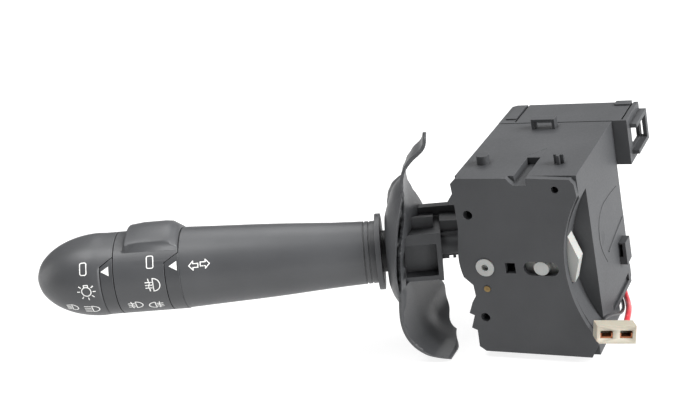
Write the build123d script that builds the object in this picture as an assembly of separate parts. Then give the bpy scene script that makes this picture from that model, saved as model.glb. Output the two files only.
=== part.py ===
from build123d import *

import math
import os

# Combination stalk switch: a stalk with a turning light knob and a turning fog
# ring, on a lever that rocks and pulls in a moulded housing with a connector.
# The origin is the indicator pivot where it meets the front face. X runs from
# the stalk into the housing, Y runs from the driver to the back, Z is up.

# Shared fits
RUNNING = 0.05          # radial clearance of a shaft that turns in a hole
BODY_GAP = 0.3          # gap between pieces that move past each other

# Stalk axis
STALK_YAW = 22.94       # turn of the stalk away from -X, towards the driver
STALK_PITCH = 5.07      # rise of the stalk towards the knob
LEVER_Y = 19.4          # distance of the flash pivot behind the front face

# Light knob
KNOB_TIP = 168.6
KNOB_DOME_START = 145.0
KNOB_EDGE = 142.1
KNOB_R = 15.0
KNOB_SKIRT_R = 14.8
KNOB_DOME_POWER = 1.93
KNOB_WALL = 2.2
KNOB_WEB = 2.0
KNOB_HUB_DEPTH = 12.0

# Rings and pointer bands
RING_R = 14.8
BAND_STEP = 1.05        # how much the aprons stand over the bands
LIGHT_BAND_START = 137.3
FOG_BAND_START = 113.6
FOG_BAND_END = 118.6
RING_WALL = 2.2
APRON_START = 41.5      # angle of the apron's near edge at mid width
APRON_SLOPE = 13.0      # fall of that edge across the band
APRON_END = 135.0
KNOB_TRAVEL = 60.0
RING_TRAVEL = 65.0
GRIP_HEIGHT = 2.7
GRIP_HALF_WIDTH = 9.0
RIDGE_HEIGHT = 1.1
RIDGE_HALF_WIDTH = 8.0

# Stalk sleeve
SLEEVE_WALL = 2.2
SLEEVE_WAIST_R = 11.1
SLEEVE_MOUTH_R = 14.6
FLANGE_T = 42.8
FLANGE_THICK = 1.8
FLANGE_R = 13.6
WAIST_RUN = 3.2         # from the flange's end face to the sleeve's waist
GROOVE_RUNS = (3.8, 5.6)
GROOVE_WIDTH = 0.6
CORE_R = 7.4
CORE_WALL = 1.2
CORE_START = FLANGE_T - 6.8
CORE_END = 141.0
SHAFT_R = 1.3
SHAFT_START = 10.5

# Lever arm
ARM_START = 21.8
ARM_HALF_U = 8.0
ARM_HALF_V = 9.0
ARM_COLLAR_R = 9.6
COLLAR_END = FLANGE_T - 1.8
BARREL_R = 3.6
BARREL_START = 13.4
BARREL_RISE = 2.0
POCKET_DEPTH = 4.5
NECK_END = 9.0
NECK_TOP = 6.9
HUB_R = 5.0
HUB_HEIGHT = 14.0
PIN_R = 2.0
TAIL_LENGTH = 9.0
PLUNGER_R = 1.6
PLUNGER_REACH = 14.6

# Shield
LEAF_THICK = 1.2
LEAF_REF_Y = 2.0
SHIELD_HUB_R = 12.6
OUTSIDE_REACH = 22.0

# Carrier
CHEEK_FRONT = 4.0
CHEEK_BACK = 32.0
CHEEK_THICK = 3.0
CARRIER_LEFT = -5.0
CARRIER_RIGHT = 7.0
CARRIER_HALF_Z = 10.5
CARRIER_PLATE = 2.5
BUSH_R = 3.25
BUSH_DIMPLE_R = 1.25
TRUNNION_R = 3.0
DRIVE_PIN_R = 1.2

# Housing
LEFT = -6.2
RIGHT = 35.6
TOP = 33.3
BOTTOM = -33.6
WALL = 1.8
FACE_THICK = 2.2
SEAM_Y = 45.0
DEPTH = 65.0
CUT_R = 47.0            # steering column clearance
CUT_X = 28.3
WINDOW_DEPTH = 8.0
CUT_TOP_Z = 26.5
CUT_BOTTOM_Z = -25.0
SCOOP_R = 15.0
RIVET_R = 1.15
RIVET_X = -0.5
RIVET_Z = -8.3
SCREW_X = -3.05
SCREW_Z = 19.8
SCREW_HOLE_R = 1.7
SMALL_HOLE_R = 1.25
SLOT_X = 19.9
SLOT_LENGTH = 12.2
CANCEL_PIN_R = 2.6
OPENING_HALF_Z = 17.0
OPENING_BACK = 40.0
PEG_HEIGHT = 3.2
PEG_R = 2.2
BRIDGE_HEIGHT = 3.7
CANCEL_FRONT = 3.6
CANCEL_BACK = 8.2
CANCEL_LOW = -6.5
CANCEL_HIGH = 10.5
CAM_X = 16.0
BOARD_TOP = -15.0
STEP_TOP = -30.0        # ceiling of the step that the wires run under
STEP_LEFT = 19.0
STEP_FRONT = 29.5
LATCH_RIGHT = 43.3

# Back
BASE_TOP = 14.1
BASE_LEFT = -4.5
BASE_RIGHT = 34.9
BASE_BACK = 50.0
BASE_FLANGE = 2.5
BASE_SCREW_X = 6.2
BASE_SCREW_Z = -29.4
SCREW_R = 1.3
SCREW_DEPTH = 1.6
SHROUD_LEFT = -6.1
SHROUD_RIGHT = 40.8
SHROUD_BOTTOM = 16.8
SHROUD_TOP = 33.5
SHROUD_WALL = 1.3
SHROUD_FLOOR = 1.5
BLADE_WIDTH = 2.8
BLADE_THICK = 0.8
BLADE_PITCH = 5.0
BLADE_FIRST_X = 3.3
BLADE_ROW_LOW = 21.6
BLADE_ROW_HIGH = 26.5
BLADE_TIP = 59.5
CLIP_DEPTH = 4.6        # room for the pigtails behind the base plate

# Cords
RED_D = 2.0
BLACK_D = 1.2
WHITE_D = 1.2
THIN_D = 1.0
WIRE_END_Y = 39.2       # where the thin wires pass into the side opening
JOINT_R = 1.5
JOINT_H = 0.8
PLUG_LENGTH = 13.6
PLUG_HEIGHT = 7.6
PLUG_DEPTH = 9.0
PLUG_BORE = 4.4
PLUG_TURN = 35.0
PLUG_PLACE = (44.6, -2.0, -19.2)


# Helpers

def box(x0, x1, y0, y1, z0, z1):
    """Return a box from its six faces."""
    middle = Pos((x0 + x1) / 2, (y0 + y1) / 2, (z0 + z1) / 2)
    return middle * Box(x1 - x0, y1 - y0, z1 - z0)


def rod_x(r, x0, x1, y=0, z=0):
    """Return a round rod along X."""
    return Pos((x0 + x1) / 2, y, z) * Rot(0, 90, 0) * Cylinder(r, x1 - x0)


def rod_y(r, y0, y1, x=0, z=0):
    """Return a round rod along Y."""
    return Pos(x, (y0 + y1) / 2, z) * Rot(90, 0, 0) * Cylinder(r, y1 - y0)


def rod_z(r, z0, z1, x=0, y=0):
    """Return a round rod along Z."""
    return Pos(x, y, (z0 + z1) / 2) * Cylinder(r, z1 - z0)


def slab_y(outline, y0, y1):
    """Extrude an outline drawn in (x, z) from y0 to y1."""
    return Pos(0, y0, 0) * extrude(Plane.XZ * outline, amount=y0 - y1)


def slab_x(outline, x0, x1):
    """Extrude an outline drawn in (y, z) from x0 to x1."""
    return Pos(x0, 0, 0) * extrude(Plane.YZ * outline, amount=x1 - x0)


def polygon(*points):
    """Return a face inside straight edges."""
    return make_face(Polyline(*points, close=True))


def turned(*points):
    """Turn a closed (t, r) outline about the stalk axis."""
    return revolve(polygon(*points), Axis.X)


def ring(t0, t1, r0, r1):
    """Return a plain ring about the stalk axis."""
    return rod_x(r1, t0, t1) - rod_x(r0, t0 - 1, t1 + 1)


def offset_side(points, distance):
    """Shift the points of an open curve sideways by a distance."""
    shifted = []
    last = len(points) - 1
    for i, (x, y) in enumerate(points):
        x0, y0 = points[max(i - 1, 0)]
        x1, y1 = points[min(i + 1, last)]
        length = math.hypot(x1 - x0, y1 - y0)
        shifted.append((x - distance * (y1 - y0) / length, y + distance * (x1 - x0) / length))
    return shifted


# The stalk's own frame: X along the stalk to the knob (t), Y to the driver (u),
# Z up (v), from the flash pivot.
STALK = Pos(0, LEVER_Y, 0) * Rot(0, 0, 180 + STALK_YAW) * Rot(0, -STALK_PITCH, 0)


def sector(t0, t1, r1, a0, a1):
    """Return the part of a disc about the stalk axis between two angles."""
    steps = max(2, math.ceil((a1 - a0) / 60))
    reach = r1 / math.cos(math.radians((a1 - a0) / steps / 2)) + 1
    angles = [math.radians(a0 + (a1 - a0) * i / steps) for i in range(steps + 1)]
    rim = [(reach * math.cos(a), reach * math.sin(a)) for a in angles]
    return slab_x(polygon((0, 0), *rim), t0, t1) & rod_x(r1, t0, t1)


def apron_zone(t0, t1, grow, sweep):
    """Return the space of an apron, with its slanted near edge.

    grow widens it on the near edge and sweep adds the travel on the far one.
    """
    start = APRON_START - APRON_SLOPE / 2
    zone = sector(t0 - 1, t1 + 1, RING_R + 3, APRON_START + APRON_SLOPE, APRON_END + sweep)
    half = RING_R * math.radians(APRON_SLOPE / 2)
    far = RING_R * math.radians(APRON_SLOPE + 8)
    slant = polygon((t0, half - grow), (t1, -half - grow), (t1 + 1, -half - grow),
                    (t1 + 1, far), (t0 - 1, far), (t0 - 1, half - grow))
    wedge = Rot(start + APRON_SLOPE / 2, 0, 0) * Pos(0, RING_R, 0) * Rot(-90, 0, 0)
    return zone + wedge * Pos(0, 0, -4) * Rot(180, 0, 0) * mirror(
        Pos(0, 0, -4) * extrude(slant, amount=8), Plane.XY)


def dome(start, tip, radius, power):
    """Return the knob's outer curve from the skirt to the tip."""
    points = []
    for i in range(9):
        s = math.sin(math.radians(90 * i / 8))
        r = radius * math.sqrt(max(0.0, 1 - s ** power))
        points.append((start + s * (tip - start), r))
    return points


def grip(profile, half_width):
    """Return a raised grip along the top, from its closed (t, r) outline."""
    t0 = min(t for t, r in profile) - 1
    t1 = max(t for t, r in profile) + 1
    return turned(*profile) & box(t0, t1, -half_width, half_width, 0, 2 * RING_R)


# Stalk pieces

def end_knob():
    """Light knob: dome, skirt, apron over the band, and hub in the core tube."""
    points = dome(KNOB_DOME_START, KNOB_TIP, KNOB_R, KNOB_DOME_POWER)
    outer = Spline(*points, tangents=((1, 0), (0, -1)))
    skirt = Line((KNOB_EDGE, KNOB_SKIRT_R), points[0])
    inner_r = KNOB_SKIRT_R - KNOB_WALL
    inside = Polyline((KNOB_TIP, 0), (KNOB_TIP - 4, 0), (KNOB_TIP - 6, 6),
                      (KNOB_DOME_START + 8, inner_r - 1.2), (KNOB_EDGE, inner_r),
                      (KNOB_EDGE, KNOB_SKIRT_R))
    knob = revolve(make_face(Curve() + [outer, skirt, inside]), Axis.X)
    band_r = RING_R - BAND_STEP
    rim = ring(LIGHT_BAND_START, KNOB_EDGE, band_r, RING_R)
    knob += rim & apron_zone(LIGHT_BAND_START, KNOB_EDGE, 0, 0)
    hub_r = CORE_R - CORE_WALL - RUNNING
    hub_start = CORE_END - KNOB_HUB_DEPTH
    knob += ring(hub_start, KNOB_EDGE + KNOB_WEB, SHAFT_R, hub_r)
    knob += ring(KNOB_EDGE, KNOB_EDGE + KNOB_WEB, SHAFT_R, inner_r + 0.5)
    crest = [(t, r + RIDGE_HEIGHT * (1 - (i / 5) ** 2)) for i, (t, r) in enumerate(points[:6])]
    ridge = [(LIGHT_BAND_START, band_r), (LIGHT_BAND_START, KNOB_SKIRT_R + 0.3),
             (LIGHT_BAND_START + 2, KNOB_SKIRT_R + RIDGE_HEIGHT), *crest, (points[5][0], band_r - 3),
             (KNOB_EDGE, band_r - 0.5)]
    return STALK * (knob + grip(ridge, RIDGE_HALF_WIDTH))


def light_pointer_band():
    """Fixed band between knob and ring that carries the light pointer."""
    end = KNOB_EDGE - BODY_GAP
    low = ring(LIGHT_BAND_START, end, CORE_R, RING_R - BAND_STEP - BODY_GAP)
    high = ring(LIGHT_BAND_START, end, CORE_R + 2, RING_R)
    band = low + (high - apron_zone(LIGHT_BAND_START, end, BODY_GAP, KNOB_TRAVEL + 4))
    return STALK * (band - detent_bore(LIGHT_BAND_START, end))


def detent_bore(t0, t1):
    """Return the blind bore of a detent ball in a band."""
    return rod_x(1.3, t0 + 0.8, t1 + 1, 10.8, 0)


def fog_ring():
    """Fog lamp ring with its apron and raised grip."""
    start = FOG_BAND_END + BODY_GAP
    end = LIGHT_BAND_START - BODY_GAP
    shell = ring(start, end, RING_R - RING_WALL, RING_R)
    shell += ring(end - 2.5, end, CORE_R + RUNNING, RING_R)
    shell += ring(start, start + 0.9, CORE_R + 1.5, RING_R)
    apron_start = FOG_BAND_START + BODY_GAP
    band_r = RING_R - BAND_STEP
    rim = ring(apron_start, start, band_r, RING_R)
    shell += rim & apron_zone(FOG_BAND_START, FOG_BAND_END, 0, 0)
    top = RING_R + GRIP_HEIGHT
    bump = [(apron_start, band_r), (apron_start, RING_R + 0.3), (apron_start + 3.5, top - 0.3),
            (apron_start + 6, top), (end - 9, top), (end - 4.5, top - 0.5), (end - 0.8, RING_R + 0.5),
            (end, RING_R), (end, band_r)]
    return STALK * (shell + grip(bump, GRIP_HALF_WIDTH))


def fog_pointer_band():
    """Fixed band between ring and sleeve that carries the fog pointer."""
    low = ring(FOG_BAND_START, FOG_BAND_END, CORE_R, RING_R - BAND_STEP - BODY_GAP)
    high = ring(FOG_BAND_START, FOG_BAND_END, CORE_R + 2, RING_R)
    band = low + (high - apron_zone(FOG_BAND_START, FOG_BAND_END, BODY_GAP, RING_TRAVEL + 4))
    return STALK * (band - detent_bore(FOG_BAND_START, FOG_BAND_END))


def stalk_sleeve():
    """Tapered outer sleeve with its end flange and two fine grooves."""
    mouth = FOG_BAND_START
    waist = FLANGE_T + WAIST_RUN
    curve = [(mouth, SLEEVE_MOUTH_R), (100, 13.95), (80, 13.0), (60, 11.7), (waist, SLEEVE_WAIST_R)]
    inner_mouth = SLEEVE_MOUTH_R - SLEEVE_WALL
    inner = Polyline((waist, SLEEVE_WAIST_R), (FLANGE_T + FLANGE_THICK, SLEEVE_WAIST_R),
                     (FLANGE_T + FLANGE_THICK, FLANGE_R), (FLANGE_T, FLANGE_R), (FLANGE_T, CORE_R),
                     (FLANGE_T + 5, CORE_R), (60, SLEEVE_WAIST_R - SLEEVE_WALL + 0.4),
                     (mouth, inner_mouth), (mouth, SLEEVE_MOUTH_R))
    sleeve = revolve(make_face(Curve() + [Spline(*curve), inner]), Axis.X)
    for run in GROOVE_RUNS:
        t = FLANGE_T + run
        sleeve -= ring(t, t + GROOVE_WIDTH, SLEEVE_WAIST_R - 0.3, FLANGE_R)
    return STALK * sleeve


def core_tube():
    """Inner tube that carries bands, ring and knob."""
    return STALK * ring(CORE_START, CORE_END, CORE_R - CORE_WALL, CORE_R)


def light_drive_shaft():
    """Thin shaft that takes the knob's turn through the stalk to the housing."""
    shaft = rod_x(SHAFT_R, SHAFT_START, KNOB_EDGE + KNOB_WEB)
    return STALK * shaft


def fog_contact_plate():
    """Fixed contact disc inside the fog ring."""
    disc = ring(123.0, 124.4, CORE_R, RING_R - RING_WALL - BODY_GAP)
    return STALK * (disc - box(122, 126, -3, 3, -13, -10))


def fog_contact_carrier():
    """Disc that turns with the fog ring and carries its wipers."""
    return STALK * ring(124.8, 127.0, CORE_R + RUNNING, RING_R - RING_WALL)


def detent_ball(t1):
    """Detent ball that waits just short of the piece that turns past it."""
    return STALK * Pos(t1 - 1.25 + BODY_GAP / 2, 10.8, 0) * Sphere(1.25)


def detent_spring(t0, t1):
    """Closed sleeve in the place of the ball's spring."""
    spring = ring(t0 + 0.8, t1 - 2.5 + BODY_GAP / 2, 0.7, 1.2)
    return STALK * Pos(0, 10.8, 0) * spring


# Lever

def arm_box():
    """Box of the arm between the shield and the housing."""
    return box(ARM_START, CORE_START, -ARM_HALF_U, ARM_HALF_U, -ARM_HALF_V, ARM_HALF_V)


def leaf_profile():
    """Points (x, z, twist) along the leaf at its reference depth."""
    lower = []
    for angle in (252, 235, 218, 200, 184):
        a = math.radians(angle)
        lower.append((-14.5 + 17 * math.cos(a), -19.5 + 17 * math.sin(a), 0.0))
    upper = [(-30.0, -4.0, 0.03), (-28.6, 8.0, 0.07), (-27.7, 18.0, 0.11), (-27.2, 27.0, 0.15),
             (-25.6, 34.6, 0.20), (-22.9, 38.6, 0.27), (-19.2, 41.6, 0.36), (-15.6, 46.6, 0.42),
             (-12.6, 51.0, 0.46)]
    return lower + upper


def leaf_outline():
    """Outline of the leaf as (y, z), seen along X."""
    near = [(0.6, -36.4), (-5.6, -34.2), (-8.4, -27.0), (-9.2, -16.0), (-8.6, -2.0), (-7.0, 11.0),
            (-0.5, 19.5), (1.4, 28.0), (2.4, 36.0), (5.0, 42.0), (6.6, 47.5)]
    far = [(10.0, 48.4), (13.4, 44.0), (15.8, 37.0), (16.4, 29.0), (19.5, 16.0), (22.0, 2.0),
           (24.2, -17.0), (28.0, -24.0), (26.8, -29.5), (19.2, -32.6), (10.5, -36.6)]
    return make_face(Spline(*near, *far, periodic=True))


def leaf_slab(thickness, depths):
    """Return the leaf's curved slab, thickened to the housing side or outwards."""
    rows = []
    for x, z, twist in leaf_profile():
        rows.append([(x - twist * (y - LEAF_REF_Y), y, z) for y in depths])
    return Solid.thicken(Face.make_surface_from_array_of_points(rows), thickness)


def shield():
    """Curved leaf that closes the column cowl, with its flared hub."""
    leaf = leaf_slab(-LEAF_THICK, (-14, 0, 10, 20, 34)) & slab_x(leaf_outline(), -60, 10)
    outside = Pos(LEAF_THICK / 2, 0, 0) * leaf_slab(OUTSIDE_REACH, (-30, -8, 8, 24, 44))
    flare = [(0.4, 14.0), (1.4, 16.6), (3.0, 19.2), (4.8, 21.6), (8.0, 24.4), (13.0, 26.5)]
    flare_out = [(COLLAR_END, SHIELD_HUB_R)] + [(COLLAR_END - back, r) for back, r in flare]
    flare_in = offset_side(flare_out, LEAF_THICK)
    edge = Polyline(flare_out[-1], flare_in[-1])
    mouth = Polyline(flare_in[0], (CORE_START, SHIELD_HUB_R - LEAF_THICK),
                     (CORE_START, ARM_COLLAR_R), (COLLAR_END, ARM_COLLAR_R), flare_out[0])
    flare = make_face(Curve() + [Spline(*flare_out), edge, Spline(*reversed(flare_in)), mouth])
    body = (STALK * revolve(flare, Axis.X) & outside) + leaf
    body -= STALK * rod_x(ARM_COLLAR_R, 15, COLLAR_END + 1)
    return body - STALK * box(ARM_START, CORE_START, -ARM_HALF_U, ARM_HALF_U + 3,
                              -ARM_HALF_V, ARM_HALF_V)


def lever_arm():
    """Arm from the shield's hub through the neck to the flash pivot."""
    arm = arm_box()
    arm -= box(ARM_START + 1.7, CORE_START - 1, ARM_HALF_U - POCKET_DEPTH, ARM_HALF_U + 1, -7.3, 5.0)
    arm += box(ARM_START, ARM_START + 1.7, 0, ARM_HALF_U, -ARM_HALF_V - 0.4, 5.0)
    arm += box(ARM_START + 2.2, CORE_START, 1.0, 2.4, ARM_HALF_V, 13.0)
    arm += box(ARM_START + 2.2, CORE_START, -7.5, 1.0, ARM_HALF_V, 11.0)
    arm += box(NECK_END, CORE_START - 2, -8.0, -5.0, 10.0, 13.5)
    arm += ring(CORE_START, COLLAR_END, CORE_R, ARM_COLLAR_R)
    web = Plane.XZ * polygon((ARM_START, 11.0), (NECK_END + 1, 10.2), (NECK_END + 1, NECK_TOP),
                             (ARM_START, NECK_TOP))
    arm += Pos(0, 2.0, 0) * extrude(web, amount=10)
    arm += rod_x(BARREL_R, BARREL_START, ARM_START, 2.4, BARREL_RISE)
    neck = box(HUB_R - 1, ARM_START, -3.2, 3.2, -3.3, NECK_TOP)
    for t in (15.6, 18.0):
        neck -= box(t, t + 1.3, 1.0, 4.0, -3.4, -0.6)
    arm += neck
    arm -= rod_x(SHAFT_R + RUNNING, SHAFT_START - 1, CORE_START + 1)
    arm = STALK * arm
    arm += rod_z(HUB_R, -HUB_HEIGHT / 2, HUB_HEIGHT / 2, 0, LEVER_Y)
    arm += box(0, TAIL_LENGTH, LEVER_Y - 3.2, LEVER_Y + 3.2, -4, 4)
    arm -= rod_x(PLUNGER_R, TAIL_LENGTH - 6, TAIL_LENGTH + 1, LEVER_Y, 0)
    arm -= outside_of_shield()
    return arm - rod_z(PIN_R + RUNNING, -HUB_HEIGHT, HUB_HEIGHT, 0, LEVER_Y)


def outside_of_shield():
    """Return the space that the arm's ribs leave to the shield's leaf."""
    leaf = leaf_slab(-LEAF_THICK, (-14, 0, 10, 20, 34))
    reach = leaf_slab(OUTSIDE_REACH, (-14, 0, 10, 20, 34))
    keep = STALK * (arm_box() + rod_x(ARM_COLLAR_R, ARM_START, COLLAR_END + 1))
    return leaf + reach - keep


def detent_plunger():
    """Sprung plunger in the tail of the lever."""
    return rod_x(PLUNGER_R, TAIL_LENGTH - 2, PLUNGER_REACH - PLUNGER_R, LEVER_Y, 0) + Pos(
        PLUNGER_REACH - PLUNGER_R, LEVER_Y, 0) * Sphere(PLUNGER_R)


def plunger_spring():
    """Closed sleeve in the place of the plunger's spring."""
    outer = rod_x(PLUNGER_R, TAIL_LENGTH - 6, TAIL_LENGTH - 2, LEVER_Y, 0)
    return outer - rod_x(PLUNGER_R - 0.6, 0, TAIL_LENGTH, LEVER_Y, 0)


# Carrier

def carrier_yoke():
    """Yoke that rocks about the indicator pivot and holds the flash pivot."""
    back = CHEEK_BACK + CHEEK_THICK
    cheek = RectangleRounded(CARRIER_RIGHT - CARRIER_LEFT, 2 * CARRIER_HALF_Z, 2.0)
    cheek = Pos((CARRIER_LEFT + CARRIER_RIGHT) / 2, 0) * cheek
    yoke = slab_y(cheek, CHEEK_FRONT, CHEEK_FRONT + CHEEK_THICK)
    yoke += slab_y(cheek, CHEEK_BACK, back)
    inner = CARRIER_HALF_Z - CARRIER_PLATE
    for low in (-CARRIER_HALF_Z, inner):
        yoke += box(CARRIER_LEFT + 2, CARRIER_RIGHT - 2, CHEEK_FRONT, back, low, low + CARRIER_PLATE)
    yoke += rod_y(TRUNNION_R, back, BASE_BACK - 1)
    yoke += rod_z(DRIVE_PIN_R, -CARRIER_HALF_Z - 3, -CARRIER_HALF_Z, 0, 26)
    return yoke - rod_z(PIN_R, -CARRIER_HALF_Z - 4, CARRIER_HALF_Z + 4, 0, LEVER_Y)


def pivot_bush():
    """White bush that carries the front of the yoke in the front face."""
    bush = rod_y(BUSH_R, -0.4, CHEEK_FRONT)
    return bush - rod_y(BUSH_DIMPLE_R, -1, 1.2)


def flash_pivot_pin():
    """Pin of the flash movement, held in the yoke."""
    return rod_z(PIN_R, -CARRIER_HALF_Z, CARRIER_HALF_Z, 0, LEVER_Y)


# Housing

def face_outline():
    """Outline of the front face in (x, z), with teeth, hook, lobe and column cut."""
    left = Polyline((33.3, BOTTOM), (-4.9, BOTTOM), (-7.2, -31.8), (-6.9, -25.2), (-8.9, -24.3),
                    (-7.0, -19.2), (-8.8, -18.4), (-6.9, -13.9), (-5.3, -11.4), (-5.5, -7.1),
                    (-8.5, -4.1))
    lobe = ThreePointArc((-8.5, -4.1), (-9.2, 0.4), (-8.9, 6.0))
    top = Polyline((-8.9, 6.0), (-7.4, 14.9), (-7.2, 23.6), (-9.4, 24.0), (-9.4, 24.9),
                   (-7.3, 27.8), (-7.4, 31.4), (-5.4, TOP), (12.4, TOP), (14.6, TOP - 2.5),
                   (19.2, TOP - 2.5), (19.2, TOP), (33.9, TOP - 0.5), (35.2, 31.0),
                   (RIGHT, CUT_TOP_Z))
    cut = ThreePointArc((RIGHT, CUT_TOP_Z), (CUT_X, 0.5), (36.3, -27.0))
    corner = Polyline((36.3, -27.0), (36.0, -28.8), (33.3, BOTTOM))
    return make_face(Curve() + [left, lobe, top, cut, corner])


def front_face():
    """Front face with its screw holes, slot, square hole and bush hole."""
    face = slab_y(face_outline(), 0, FACE_THICK)
    for z in (-SCREW_Z, SCREW_Z):
        face -= rod_y(SCREW_HOLE_R, -1, 4, SCREW_X, z)
    face -= rod_y(SMALL_HOLE_R, -1, 4, 28.6, 29.2)
    face -= rod_y(RIVET_R, -1, 4, RIVET_X, RIVET_Z)
    face -= rod_y(BUSH_R + RUNNING, -1, 4)
    face -= box(7.3, 10.9, -1, 4, -2, 2)
    slot = Pos(SLOT_X, 0) * SlotOverall(SLOT_LENGTH, 2 * (CANCEL_PIN_R + RUNNING))
    return face - slab_y(slot, -1, 4)


def side_shell():
    """Walls of the housing behind the front face."""
    shell = box(LEFT, RIGHT, FACE_THICK, SEAM_Y, BOTTOM, TOP)
    shell -= box(LEFT + WALL, RIGHT - WALL, 0, SEAM_Y + 1, BOTTOM + WALL, TOP - WALL)
    shell -= box(LEFT - 1, LEFT + WALL + 0.01, FACE_THICK, OPENING_BACK, -OPENING_HALF_Z,
                 OPENING_HALF_Z)
    for z in (-SCREW_Z, SCREW_Z):
        shell += rod_y(SCREW_HOLE_R + 1.3, FACE_THICK, 20, SCREW_X, z) - rod_y(
            SCREW_HOLE_R, 0, 21, SCREW_X, z)
    return shell


def column_window():
    """Return the pocket behind the front face where the column passes, and its walls."""
    centre = CUT_X + CUT_R
    back = FACE_THICK + WINDOW_DEPTH
    inside = box(LEFT + WALL, RIGHT, FACE_THICK, back + WALL, CUT_BOTTOM_Z, CUT_TOP_Z)
    walls = inside & rod_y(CUT_R + WALL, FACE_THICK, back + WALL, centre, 0)
    pocket = rod_y(CUT_R, FACE_THICK, back, centre, 0)
    pocket = pocket & box(0, RIGHT + 1, 0, back, CUT_BOTTOM_Z, CUT_TOP_Z)
    return walls, pocket


def groove_cut():
    """Groove along the top that starts at the notch of the front face."""
    cut = box(14.6, 19.2, -1, 17.0, TOP - 2.5, TOP + 1)
    pocket = Pos(0, 0, TOP - 4.5) * extrude(
        polygon((12.8, 17.0), (19.2, 17.0), (19.2, 24.5)), amount=6)
    return cut + pocket


def top_details():
    """Pegs and wire bridge that stand on top of the housing."""
    peg = rod_z(PEG_R, TOP - WALL, TOP + PEG_HEIGHT, 0.5, 12.7)
    cross = box(25.6, 29.0, 11.8, 12.8, TOP - WALL, TOP + PEG_HEIGHT)
    cross += box(26.8, 27.8, 10.6, 14.0, TOP - WALL, TOP + PEG_HEIGHT)
    bridge = box(8.5, 17.0, 41.5, SEAM_Y, TOP - WALL, TOP + BRIDGE_HEIGHT)
    bridge -= box(9.5, 16.0, 40, 46, TOP, TOP + BRIDGE_HEIGHT - 1.0)
    return peg + cross + bridge


def side_details():
    """Clip block on the column side, and the cuts of its scoop and groove."""
    block = box(RIGHT, RIGHT + 2.6, 37.0, 43.0, -17.5, -9.0)
    block -= box(RIGHT, RIGHT + 1.4, 36, 41.0, -14.5, -9.5)
    scoop = Pos(RIGHT + 13.0, 0, 1.5) * Rot(0, 0, -5) * rod_y(SCOOP_R, 18, 60)
    groove = box(RIGHT - 1.0, RIGHT + 1, 22.5, SEAM_Y + 1, -28.3, -25.2)
    return block, (scoop & box(0, 60, 18, SEAM_Y + 1, -9.0, 12.0)) + groove


def wire_step():
    """Return the walls round the step in the floor, and the step itself."""
    walls = box(STEP_LEFT - WALL, RIGHT, STEP_FRONT - WALL, SEAM_Y, BOTTOM, STEP_TOP + WALL)
    step = box(STEP_LEFT, RIGHT + 1, STEP_FRONT, BASE_BACK + 1, BOTTOM - 1, STEP_TOP)
    return walls, step


def housing():
    """Moulded housing: front face, walls, window pocket, groove and details."""
    walls, pocket = column_window()
    block, side_cuts = side_details()
    step_walls, step = wire_step()
    body = front_face() + side_shell()
    liner = box(LEFT + WALL, RIGHT - WALL, FACE_THICK, SEAM_Y, BOTTOM + WALL, TOP - WALL)
    body += box(11.0, 21.0, FACE_THICK, 26.5, TOP - 6.3, TOP - WALL) & liner
    body += (scoop_liner() & liner) + walls + block + step_walls + top_details()
    body = body - pocket - groove_cut() - side_cuts - step
    return body - box(CUT_X - 4, CUT_X + 4, CANCEL_FRONT - BODY_GAP, CANCEL_BACK + BODY_GAP,
                      CANCEL_LOW - BODY_GAP, CANCEL_HIGH + BODY_GAP)


def scoop_liner():
    """Thicker wall inside the scoop of the column side."""
    return box(RIGHT - 4.0, RIGHT, 18, SEAM_Y, -10.5, 13.5)


def rivet():
    """Brass rivet in the front face."""
    return rod_y(RIVET_R, -0.3, FACE_THICK + 0.4, RIVET_X, RIVET_Z)


def cancel_finger():
    """Sliding finger that the column's cam pushes back, with its guide pin."""
    finger = box(SLOT_X - 6.5, CUT_X - 1, CANCEL_FRONT, CANCEL_BACK, -5.0, 5.0)
    wedge = polygon((CUT_X - 1, CANCEL_LOW), (29.8, CANCEL_LOW), (32.2, 2.0),
                    (29.4, CANCEL_HIGH), (CUT_X - 1, CANCEL_HIGH))
    finger += slab_y(wedge, CANCEL_FRONT, CANCEL_BACK)
    finger += rod_y(CANCEL_PIN_R, 0.3, CANCEL_FRONT, SLOT_X, 0)
    return finger + rod_x(1.4, SLOT_X - 8.5, SLOT_X - 6.5, 5.9, 0)


def cancel_spring():
    """Closed sleeve in the place of the finger's spring, round its guide pin."""
    outer = rod_x(2.2, SLOT_X - 8.5, SLOT_X - 6.5, 5.9, 0)
    return outer - rod_x(1.4 + RUNNING, 8, 20, 5.9, 0)


def detent_cam():
    """Cam wall that the plunger rides on, with its foot on the base plate."""
    curve = [(CAM_X, -12.0), (CAM_X, -5.5), (CAM_X + 1.4, 0), (CAM_X, 5.5), (CAM_X, 12.0)]
    outline = polygon(*curve, (CAM_X + 3.2, 12.0), (CAM_X + 3.2, -12.0))
    return slab_y(outline, 13.0, 26.0) + box(CAM_X + 0.8, CAM_X + 3.2, 26.0, SEAM_Y, -8, 8)


def contact_board():
    """Contact board over the floor, on the base plate."""
    return box(-4.0, 14.0, 16.0, SEAM_Y, BOARD_TOP - 1.6, BOARD_TOP)


def indicator_slider():
    """Contact slider that the yoke's pin drives along X."""
    low = BOARD_TOP + BODY_GAP
    slider = box(-4.0, 4.0, 22.0, 30.0, low, low + 3.0)
    fork = SlotOverall(2 * DRIVE_PIN_R + 4.0, 2 * DRIVE_PIN_R + 0.8, rotation=90)
    return slider - Pos(0, 26, low - 1) * extrude(fork, amount=5)


# Back

def base_outline():
    """Outline of the base plate's raised part in (x, z)."""
    return polygon((BASE_LEFT, -16.0), (BASE_LEFT, -30.0), (-2.2, -31.0), (0.0, BOTTOM),
                   (13.0, BOTTOM), (19.0, -31.7), (BASE_RIGHT, -31.7), (BASE_RIGHT, -2.7),
                   (33.6, 2.2), (33.4, 7.0), (BASE_RIGHT, BASE_TOP), (BASE_LEFT, BASE_TOP))


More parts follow.
